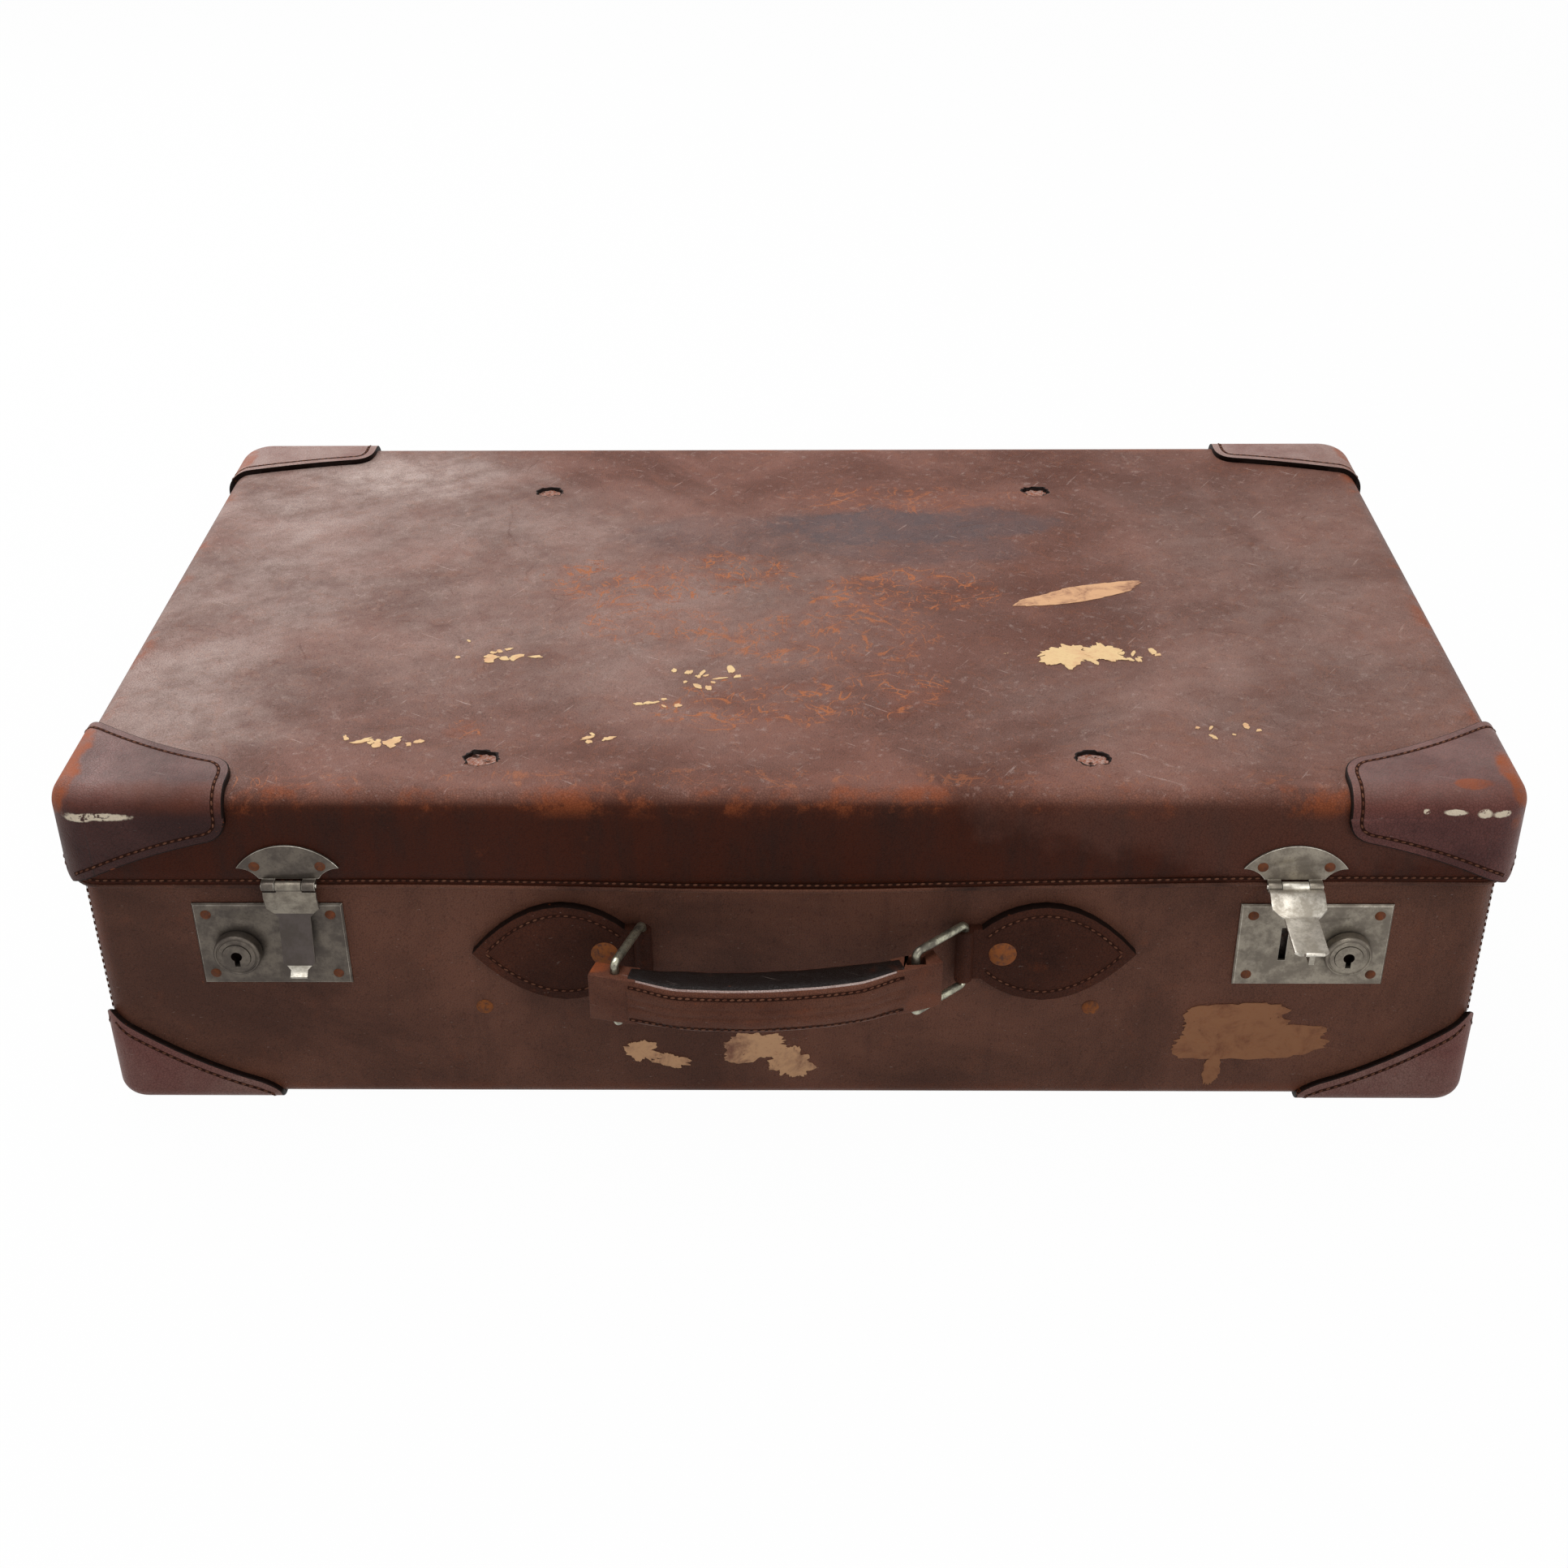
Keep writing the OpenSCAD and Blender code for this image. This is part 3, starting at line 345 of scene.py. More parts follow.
def bead(bm, spot, along, normal, wide):
    """One stitch: a small flattened bead, a little askew."""
    s = sizes()
    across = normal.cross(along).normalized()
    turn = Matrix((along, across, along.cross(across))).transposed().to_4x4()
    jog = wobble(spot, 2.3 * MM, 5)
    size = Matrix.Diagonal((s.stitch_len * (1 + 0.12 * jog), s.thread_d * wide, s.thread_d * 0.8, 1))
    place = Matrix.Translation(spot + across * jog * 0.12 * MM)
    twist = Matrix.Rotation(math.radians(7 + 5 * jog), 4, "Z")
    bmesh.ops.create_uvsphere(bm, u_segments=6, v_segments=4, radius=0.5, matrix=place @ turn @ twist @ size)


def sew(bm, path, pitch=None, wide=1.0):
    """A seam along a path of (point, normal) pairs: a groove darkened with painted shade, and stitches in it.
    """
    pitch = pitch or sizes().stitch_pitch
    groove_along(bm, path, sizes().groove / 2)
    travelled, due = 0, pitch / 2
    beads = bmesh.new()
    for (a, na), (b, nb) in zip(path, path[1:]):
        gap = (b - a).length
        while gap > 1e-9 and due <= travelled + gap:
            t = (due - travelled) / gap
            bead(beads, a.lerp(b, t), (b - a).normalized(), na.lerp(nb, t).normalized(), wide)
            due += pitch
            if len(beads.verts) > BEAD_BATCH:
                pour(beads, bm)
        travelled += gap
    pour(beads, bm)
    beads.free()


def pour(few, many):
    """Moves all of one bmesh into another, which keeps the first one small and quick."""
    mesh = bpy.data.meshes.new("poured")
    few.to_mesh(mesh)
    many.from_mesh(mesh)
    bpy.data.meshes.remove(mesh)
    few.clear()


# Material tools


def emptied(owner):
    """The node tree of a material or a world, without the nodes it starts with."""
    owner.use_nodes = True
    owner.node_tree.nodes.clear()
    return owner.node_tree


class Graph:
    """Adds shader nodes to a tree: a socket given as an input is linked, anything else is set."""

    def __init__(self, tree):
        self.tree = tree

    def plug(self, value, socket):
        if isinstance(value, bpy.types.NodeSocket):
            self.tree.links.new(value, socket)
        else:
            socket.default_value = value

    def add(self, kind, inputs=None, **settings):
        node = self.tree.nodes.new("ShaderNode" + kind)
        for key, value in settings.items():
            setattr(node, key, value)
        for key, value in (inputs or {}).items():
            self.plug(value, node.inputs[key])
        return node

    def math(self, operation, *values):
        return self.add("Math", dict(enumerate(values)), operation=operation).outputs[0]

    def times(self, a, b):
        return self.math("MULTIPLY", a, b)

    def plus(self, a, b):
        return self.math("ADD", a, b)

    def minus(self, a, b):
        return self.math("SUBTRACT", a, b)

    def largest(self, first, *others):
        for mask in others:
            first = self.math("MAXIMUM", first, mask)
        return first

    def vector(self, operation, *values):
        return self.add("VectorMath", dict(enumerate(values)), operation=operation).outputs[0]

    def scaled(self, value, by):
        return self.add("VectorMath", {0: value, "Scale": by}, operation="SCALE").outputs[0]

    def distance(self, place, centre, reach):
        """How far a place is from a centre, in shares of a reach."""
        off = self.vector("DIVIDE", self.vector("SUBTRACT", place, centre), reach)
        return self.add("VectorMath", {0: off}, operation="LENGTH").outputs["Value"]

    def noise(self, place, scale, detail=4, rough=0.6, warp=0):
        """Cloudy noise; a scale for each axis stretches it."""
        if isinstance(scale, tuple):
            place, scale = self.add("Mapping", {"Vector": place, "Scale": scale}).outputs[0], 1
        inputs = {"Vector": place, "Scale": scale, "Detail": detail, "Roughness": rough, "Distortion": warp}
        return self.add("TexNoise", inputs).outputs["Fac"]

    def edges(self, place, scale):
        """Distance from the borders between the cells of a scattered pattern."""
        inputs = {"Vector": place, "Scale": scale}
        return self.add("TexVoronoi", inputs, feature="DISTANCE_TO_EDGE").outputs[0]

    def fade(self, value, low, high, start=0, end=1):
        """From start to end as a value goes from low to high, smoothly."""
        inputs = {"Value": value, "From Min": low, "From Max": high, "To Min": start, "To Max": end}
        return self.add("MapRange", inputs, interpolation_type="SMOOTHSTEP", clamp=True).outputs[0]

    def spots(self, place, pattern, *span):
        """Noise of a pattern, faded to a mask."""
        return self.fade(self.noise(place, *pattern), *span)

    def mix(self, share, first, second, blend="MIX"):
        first, second = (t if isinstance(t, bpy.types.NodeSocket) else (*t, 1) for t in (first, second))
        inputs = {0: share, 6: first, 7: second}
        return self.add("Mix", inputs, data_type="RGBA", blend_type=blend).outputs[2]

    def group(self, name, **inputs):
        node = self.add("Group", node_tree=bpy.data.node_groups[name])
        for key, value in inputs.items():
            self.plug(value, node.inputs[key.capitalize()])
        return node.outputs

    def facing(self):
        return self.add("SeparateXYZ", {0: self.add("TexCoord").outputs["Normal"]}).outputs

    def turned(self, place, degrees):
        turn = (0, 0, math.radians(degrees))
        return self.add("Mapping", {"Vector": place, "Rotation": turn}).outputs[0]

    def seen(self):
        """1 for the rays that show a thing itself, 0 for the rays that it lights other things by."""
        path = self.add("LightPath").outputs
        return self.largest(path["Is Camera Ray"], path["Is Glossy Ray"], path["Is Transmission Ray"])


class Finish(Graph):
    """A material's graph, from its places on the object to its shader."""

    def __init__(self, name):
        self.material = bpy.data.materials.new(name)
        super().__init__(emptied(self.material))
        self.shader = self.add("BsdfPrincipled")
        self.add("OutputMaterial", {"Surface": self.shader.outputs[0]})
        self.place = self.add("TexCoord").outputs["Object"]

    def patch(self, centre, reach, ragged, scale):
        inputs = {"centre": centre, "reach": reach, "ragged": ragged, "scale": scale}
        return self.group("Patch", vector=self.place, **inputs)["Mask"]

    def edge_rub(self, centre, half, width):
        return self.group("Edge rub", vector=self.place, centre=centre, half=half, width=width)["Mask"]

    def end(self, base, rough, height, bump, gloss=0.5, metal=0.0):
        """Leads the values to the shader; bump is its strength and its height."""
        bumps = self.add("Bump", {"Height": height, "Strength": bump[0], "Distance": bump[1]}).outputs[0]
        values = {"Base Color": base, "Roughness": rough, "Normal": bumps, "Metallic": metal,
                  "Specular IOR Level": gloss}
        for key, value in values.items():
            self.plug(value, self.shader.inputs[key])
        return self.material


class Group(Graph):
    """A node group's graph, made with the names of its vectors, its numbers and its outputs."""

    def __init__(self, name, vectors, numbers, outputs):
        super().__init__(bpy.data.node_groups.new(name, "ShaderNodeTree"))
        kinds = [("INPUT", "Vector", vectors), ("INPUT", "Float", numbers), ("OUTPUT", "Float", outputs)]
        for way, kind, labels in kinds:
            for label in labels:
                self.tree.interface.new_socket(label, in_out=way, socket_type="NodeSocket" + kind)
        self.given = self.tree.nodes.new("NodeGroupInput").outputs
        self.out = self.tree.nodes.new("NodeGroupOutput").inputs

    def give(self, label, value):
        self.tree.links.new(value, self.out[label])


def make_groups():
    """The effects that several finishes share."""
    g = Group("Leather grain", ["Vector"], ["Grain"], ["Height", "Pores"])
    place = g.given["Vector"]
    warp = g.noise(place, 260, 2)
    drift = g.scaled(g.add("CombineXYZ", {0: warp, 1: warp, 2: warp}).outputs[0], 1.2 * MM)
    plump = g.fade(g.edges(g.vector("ADD", place, drift), g.given["Grain"]), 0, 0.16)
    height = g.plus(g.times(plump, 0.55), g.times(g.noise(place, 2600, 2), 0.25))
    g.give("Height", g.plus(height, g.times(g.noise(place, 120, 3), 0.6)))
    g.give("Pores", g.minus(1.0, plump))

    g = Group("Patch", ["Vector", "Centre", "Reach"], ["Ragged", "Scale"], ["Mask"])
    place = g.given["Vector"]
    far = g.distance(place, g.given["Centre"], g.given["Reach"])
    rag = g.times(g.minus(g.noise(place, g.given["Scale"], 5, 0.65), 0.5), g.given["Ragged"])
    g.give("Mask", g.fade(g.plus(far, rag), 1.15, 0.75))

    g = Group("Edge rub", ["Vector", "Centre", "Half"], ["Width"], ["Mask"])
    apart = g.vector("ABSOLUTE", g.vector("SUBTRACT", g.given["Vector"], g.given["Centre"]))
    past = g.add("SeparateXYZ", {0: g.vector("SUBTRACT", apart, g.given["Half"])}).outputs
    nearest = g.largest(*(g.math("MINIMUM", past[i], past[j]) for i, j in ((0, 1), (1, 2), (0, 2))))
    g.give("Mask", g.fade(g.math("DIVIDE", nearest, g.given["Width"]), -1, 0))

    g = Group("Rust bloom", ["Vector"], ["Amount"], ["Mask", "Height"])
    place = g.given["Vector"]
    spots = g.noise(place, 620, 4, 0.7)
    both = g.plus(g.times(g.noise(place, 95, 6, 0.7), 0.65), g.times(spots, 0.35))
    level = g.plus(both, g.given["Amount"])
    g.give("Mask", g.fade(level, 0.56, 0.7))
    g.give("Height", g.times(spots, g.fade(level, 0.5, 0.7)))


def leather(name, mid, deep, box=None, rub=0.6, spots=(), chips=(), grain=900, shine=(0.4, 0.58),
            streaks=0.4, gloss=0.14, bloom=0.0, dark=()):
    """Old vegetable-tanned leather: mottled, cracked fine, rubbed bare where its edges were knocked."""
    c, g = colours(), Finish(name)
    place = g.place
    skin = g.group("Leather grain", vector=place, grain=grain)
    clouds = g.noise(place, 11, 6, 0.62, 0.5)
    base = g.mix(g.fade(clouds, 0.3, 0.7), deep, mid)
    base = g.mix(g.spots(place, (85, 5, 0.7), 0.54, 0.75, 0, 0.4), base, deep)
    base = g.mix(g.spots(place, (52, 6, 0.7), 0.56, 0.8, 0, 0.3), base, c.scuff)
    if streaks:
        base = g.mix(g.spots(place, ((120, 120, 11), 4, 0.6), 0.5, 0.75, 0, streaks), base, deep)
    base = g.mix(g.spots(g.turned(place, 20), ((40, 900, 900), 2), 0.68, 0.8, 0, 0.3), base, c.dust_and_sheen)
    base = g.mix(g.times(skin["Pores"], 0.4), base, deep, "MULTIPLY")
    # Faces that look up are lighter: partly pale bloom, partly painted light from above.
    if bloom:
        up = g.fade(g.facing()["Z"], 0.35, 0.95, 0, bloom)
        base = g.mix(g.times(up, g.spots(place, (40, 6, 0.7), 0.3, 0.65, 0.4, 1.0)), base, c.dust_and_sheen)
    # Painted shade: patches darkened towards the cut edges' black.
    for centre, reach, share in dark:
        base = g.mix(g.times(g.patch(centre, reach, 0.5, 20), share), base, c.edge)
    worn = g.spots(place, (230, 5, 0.7), 0.68, 0.74, 0, 0.5)
    rough = g.fade(clouds, 0.3, 0.7, shine[1], shine[0])
    if box:
        near = g.edge_rub(*box, 8 * MM)
        soft = g.times(near, g.spots(place, (24, 6, 0.66), 0.42, 0.72, 0.1, 0.75 * rub))
        hard = g.times(near, g.spots(place, (34, 7, 0.7), 0.58, 0.68, 0, rub))
        worn = g.largest(worn, soft, hard)
        rough = g.minus(rough, g.times(near, 0.08))
    for centre, reach, share in spots:
        rubbed = g.spots(place, (110, 5, 0.7), 0.3, 0.6, share * 0.45, share)
        worn = g.largest(worn, g.times(g.patch(centre, reach, 1.1, 70), rubbed))
    base = g.mix(worn, base, c.scuff)
    bare = 0.0
    for centre, reach in chips:
        scraped = g.spots(place, (330, 5, 0.7), 0.36, 0.44)
        bare = g.largest(bare, g.times(g.patch(centre, reach, 1.3, 170), scraped))
    if chips:
        base = g.mix(bare, base, c.hide)
    rough = g.plus(rough, g.times(worn, 0.12))
    height = g.minus(skin["Height"], g.times(g.plus(worn, bare), 0.3))
    return g.end(base, rough, height, (0.5, 0.5 * MM), gloss)


# Marks on the lid's top: middle, half width and half depth in millimetres, and strength. The first table is
# pale bloom together with painted sheen, strongest towards the back left where the top glances the light.
BLOOM_AND_SHEEN = ((-232, 152, 84, 44, 1.2), (-285, 105, 60, 80, 0.85), (-282, 15, 90, 120, 0.7),
         (-295, -95, 60, 100, 0.75), (-195, 75, 130, 80, 0.55), (-120, -20, 180, 120, 0.4),
         (265, -10, 100, 180, 0.3), (200, -125, 130, 60, 0.25))
STAINS = ((52, 84, 72, 24, 0.75), (108, 89, 46, 19, 0.6), (78, 55, 55, 18, 0.4), (-25, 72, 70, 26, 0.3))
SCUFFS = ((-85, 12, 52, 30, 1.0), (-35, 26, 46, 26, 1.0), (55, 3, 50, 24, 0.9), (22, -50, 62, 34, 0.6),
          (-17, -118, 46, 26, 0.7), (46, -106, 38, 24, 0.7), (-70, -32, 46, 20, 0.6), (60, 120, 70, 20, 0.5),
          (-150, -139, 10, 9, 1.0), (-40, -184, 130, 8, 0.4), (150, -186, 90, 7, 0.3),
          (-230, -187, 40, 6, 0.5))
MARK_DEEP = 40 * MM


class LidTop(Finish):
    """The lid's finish, with marks placed on its top."""

    def mark(self, x, y, wide, deep, share, ragged=1.6, scale=20):
        """A ragged patch."""
        reach = (wide * MM, deep * MM, MARK_DEEP)
        return self.times(self.patch(spot_at(x, y, LID_TOP), reach, ragged, scale), share)

    def veil(self, x, y, wide, deep, share, drifts):
        """A patch with a wide, soft border."""
        far = self.distance(self.place, spot_at(x, y, LID_TOP), (wide * MM, deep * MM, MARK_DEEP))
        return self.fade(self.plus(far, drifts), 1.55, 0.15, 0, share)

    def bent(self, scale, far):
        """Places that drift, to bend straight marks."""
        drift = self.add("TexNoise", {"Vector": self.place, "Scale": scale, "Detail": 3}).outputs["Color"]
        drift = self.vector("SUBTRACT", drift, (0.5, 0.5, 0.5))
        return self.vector("ADD", self.place, self.scaled(drift, far))

    def scratch_lines(self, turn, scale):
        """Long thin lines, where a noise passes its middle value."""
        level = self.noise(self.turned(self.place, turn), scale, 2, 0.5, 1.6)
        return self.fade(self.math("ABSOLUTE", self.minus(level, 0.5)), 0.013, 0.004)


def lid_finish():
    """The lid's leather: dark on the walls, partly waxed and partly painted shade; bleached, bloomed, scuffed
    and given painted sheen on the top.
    """
    c, g = colours(), LidTop("lid leather")
    place = g.place
    skin = g.group("Leather grain", vector=place, grain=820)
    top = g.fade(g.facing()["Z"], 0.3, 0.85)
    clouds = g.noise(place, 10, 7, 0.64, 0.6)
    spots = g.noise(place, 62, 6, 0.7)
    base = g.mix(g.fade(clouds, 0.32, 0.68), c.lid_deep, c.lid)
    base = g.mix(g.fade(spots, 0.48, 0.75, 0, 0.45), base, c.lid_deep)
    base = g.mix(g.spots(place, (240, 5, 0.72), 0.54, 0.76, 0, 0.35), base, c.dust_and_sheen)

    swept = g.spots(g.turned(place, -32), ((15, 27, 20), 7, 0.68), 0.36, 0.68)
    fine = g.spots(place, (75, 6, 0.72), 0.36, 0.64)
    drifts = g.math("MULTIPLY_ADD", g.noise(place, 13, 6, 0.66), 1.5, -0.75)
    # Pale bloom mixed with painted sheen: soft pale patches, strongest towards the back left.
    bloom_and_sheen = g.largest(*(g.veil(*mark, drifts) for mark in BLOOM_AND_SHEEN))
    haze_and_sheen = g.times(bloom_and_sheen, g.plus(g.math("MULTIPLY_ADD", swept, 0.38, 0.27), g.times(fine, 0.27)))
    base = g.mix(haze_and_sheen, base, c.dust_and_sheen)
    blue = g.largest(*(g.mark(*mark, 1.7, 30) for mark in STAINS))
    base = g.mix(g.times(blue, g.fade(spots, 0.3, 0.6, 0.55, 1.0)), base, c.stain)

    crease = g.times(g.fade(g.edges(g.bent(14, 60 * MM), 8), 0.01, 0.0), g.fade(spots, 0.45, 0.6))
    base = g.mix(g.times(crease, 0.4), base, c.lid_deep)
    nicks = ((32, c.dust_and_sheen, 0.5), (-58, c.dust_and_sheen, 0.4), (-24, c.lid_deep, 0.55), (71, c.lid_deep, 0.4))
    for degrees, tone, share in nicks:
        base = g.mix(g.spots(g.turned(place, degrees), ((42, 560, 300), 3), 0.68, 0.76, 0, share), base, tone)

    zone = g.largest(*(g.mark(*mark, 1.8, 26) for mark in SCUFFS))
    lines = g.largest(*(g.scratch_lines(turn, scale) for turn, scale in ((0, 19), (70, 31), (140, 47))))
    lines = g.times(lines, g.spots(place, (90, 5, 0.7), 0.43, 0.53))
    lines = g.times(lines, g.fade(zone, 0.1, 0.8, 0.1, 0.9))
    flecks = g.spots(place, (200, 6, 0.74), 0.585, 0.64, 0, 0.85)
    worn = g.times(zone, g.largest(flecks, g.fade(spots, 0.42, 0.65, 0.0, 0.3)))
    worn = g.largest(worn, g.spots(place, (170, 6, 0.72), 0.69, 0.74, 0, 0.6))
    near = g.edge_rub(spot_at(0, 0, -22), (0.325, 0.195, 0.195), 9 * MM)
    knocked = g.times(near, g.spots(place, (30, 7, 0.72), 0.5, 0.62, 0.05, 0.85))
    worn = g.times(g.largest(worn, knocked), 0.85)
    # The upright walls take a darker waxed tone: partly waxed leather, partly painted shade on the faces that
    # the light from above reaches less.
    waxed = g.mix(g.spots(place, ((55, 55, 14), 5, 0.66), 0.4, 0.75), c.lid_walls_wax_and_shade, c.tab_deep)
    waxed = g.mix(g.fade(spots, 0.62, 0.78, 0, 0.3), waxed, c.scuff)
    # Painted light: the front wall is lighter towards the right, where more light falls.
    waxed = g.mix(g.mark(230, -200, 130, 16, 0.3), waxed, c.lid)
    base = g.mix(g.minus(1.0, top), base, waxed)
    base = g.mix(worn, base, c.scuff)
    base = g.mix(g.times(lines, top), base, c.scratch)
    chips = g.spots(place, (190, 5, 0.7, 0.8), 0.725, 0.745)
    bare = g.times(g.times(chips, top), g.mark(-20, -90, 290, 90, 1.0))
    base = g.mix(bare, base, c.cream)
    base = g.mix(g.times(skin["Pores"], 0.35), base, c.lid_deep, "MULTIPLY")
    rough = g.plus(g.fade(clouds, 0.3, 0.7, 0.6, 0.46), g.times(worn, 0.12))
    rough = g.minus(rough, g.times(near, 0.1))
    height = g.minus(skin["Height"], g.times(g.plus(worn, bare), 0.4))
    height = g.minus(height, g.times(crease, 0.8))
    return g.end(base, rough, height, (0.45, 0.5 * MM), 0.09)


def metal_finish(name, bright, dull, rust_amount, shine=(0.38, 0.56)):
    """Plated steel gone grey: pitted, spotted, with rust creeping out of the corners."""
    g = Finish(name)
    place = g.place
    bloom = g.group("Rust bloom", vector=place, amount=rust_amount)
    cloud = g.noise(place, 110, 6, 0.68)
    pits = g.noise(place, 1000, 4, 0.7)
    base = g.mix(g.fade(cloud, 0.38, 0.64, 0.85, 0.0), bright, dull)
    base = g.mix(g.fade(pits, 0.54, 0.68, 0, 0.7), base, dull)
    base = g.mix(g.spots(place, ((2400, 700, 160), 3), 0.55, 0.8, 0, 0.3), base, dull)
    base = g.mix(g.times(bloom["Mask"], 0.8), base, colours().rust)
    rough = g.plus(g.fade(cloud, 0.3, 0.7, shine[1], shine[0]), g.times(bloom["Mask"], 0.3))
    metal = g.minus(0.9, g.times(bloom["Mask"], 0.75))
    height = g.plus(g.times(pits, -0.6), g.times(bloom["Height"], 0.8))
    return g.end(base, rough, height, (0.4, 0.25 * MM), metal=metal)


def layered(name, under, layers, grain, rough, bump, gloss):
    """Layers of spots over one tone; a grain of its own gives the roughness and the bumps."""
    g = Finish(name)
    base = under
    for pattern, span, tone in layers:
        base = g.mix(g.spots(g.place, pattern, *span), base, tone)
    height = g.noise(g.place, *grain)
    return g.end(base, g.fade(height, 0.3, 0.7, *rough), height, bump, gloss)


def cut_edge_finish():
    """Blackened, burnished cut edges with fine layers."""
    c, fine = colours(), (900, 4, 0.6)
    layers = ((fine, (0.55, 0.75), c.tab_deep), ((130, 5, 0.7), (0.63, 0.72, 0, 0.7), c.scuff))
    return layered("cut leather edge", c.edge, layers, fine, (0.45, 0.7), (0.5, 0.3 * MM), 0.08)


def rust_finish(name, tone):
    """Rivet heads, rusted right through: brown, flaked and dull."""
    c, flakes = colours(), (420, 6, 0.72)
    layers = ((flakes, (0.34, 0.58), tone), ((150, 4, 0.6), (0.5, 0.7, 0, 0.4), c.scuff))
    return layered(name, c.base_deep, layers, flakes, (0.6, 0.85), (0.8, 0.4 * MM), 0.2)


def shade_finish(name, tone):
    """Painted shade: a plain dark tone for the depth of a seam's groove and the inside of a keyhole."""
    grit = (900, 3)
    layers = ((grit, (0.4, 0.7, 0, 0.5), colours().edge),)
    return layered(name, tone, layers, grit, (0.8, 0.95), (0.3, 0.2 * MM), 0.05)


def thread_finish():
    """Waxed linen thread, darkened, paler where it is rubbed."""
    c, worn = colours(), (160, 5, 0.7)
    layers = ((worn, (0.36, 0.6), c.thread), (worn, (0.62, 0.78, 0, 0.3), c.paper))
    return layered("sewing thread", c.tab, layers, (3200, 2), (0.6, 0.85), (0.6, 0.2 * MM), 0.12)


def paper_finish(name, pale, brown):
    """Torn, foxed paper with glue stains."""
    c, fibre = colours(), ((500, 1400, 900), 4, 0.7)
    layers = (((55, 6, 0.7, 0.5), (0.3, 0.56), pale), (fibre, (0.55, 0.8, 0, 0.5), c.scuff),
              ((260, 4, 0.7), (0.66, 0.74, 0, 0.8), c.lid_deep))
    return layered(name, brown, layers, fibre, (0.75, 0.95), (0.5, 0.2 * MM), 0.12)


def board_finish():
    """Raw fibre board under the torn leather."""
    c, fibre = colours(), ((700, 1500, 800), 5, 0.7)
    layers = ((fibre, (0.35, 0.7), c.dust_and_sheen), ((240, 4), (0.5, 0.68), c.tab_deep))
    return layered("raw board", c.scuff, layers, fibre, (0.75, 0.95), (0.8, 0.5 * MM), 0.12)


# Waves of the lining's threads and of its stripes, in radians for each metre
WEAVE = 5200.0
STRIPES = 420.0


def lining_finish():
    """Woven cotton lining, striped and foxed with age."""
    c, g = colours(), Finish("lining cloth")
    x, y, z = g.add("SeparateXYZ", {0: g.place}).outputs
    wave = lambda run, pitch: g.math("SINE", g.times(run, pitch))
    weave = g.times(wave(g.plus(x, z), WEAVE), wave(g.plus(y, z), WEAVE))
    foxing = g.noise(g.place, 22, 7, 0.7)
    base = g.mix(g.fade(wave(x, STRIPES), 0.55, 0.9, 0, 0.45), c.cloth, c.base)
    base = g.mix(g.fade(weave, -0.2, 1.0, 0, 0.22), base, c.cream)
    base = g.mix(g.fade(foxing, 0.46, 0.74, 0, 0.75), base, c.base)
    base = g.mix(g.spots(g.place, (130, 5, 0.7), 0.64, 0.74, 0, 0.6), base, c.scuff)
    return g.end(base, g.fade(foxing, 0.3, 0.7, 0.75, 0.92), weave, (0.35, 0.15 * MM), 0.12)


FINISHES = {}
SEAM = "thread groove"


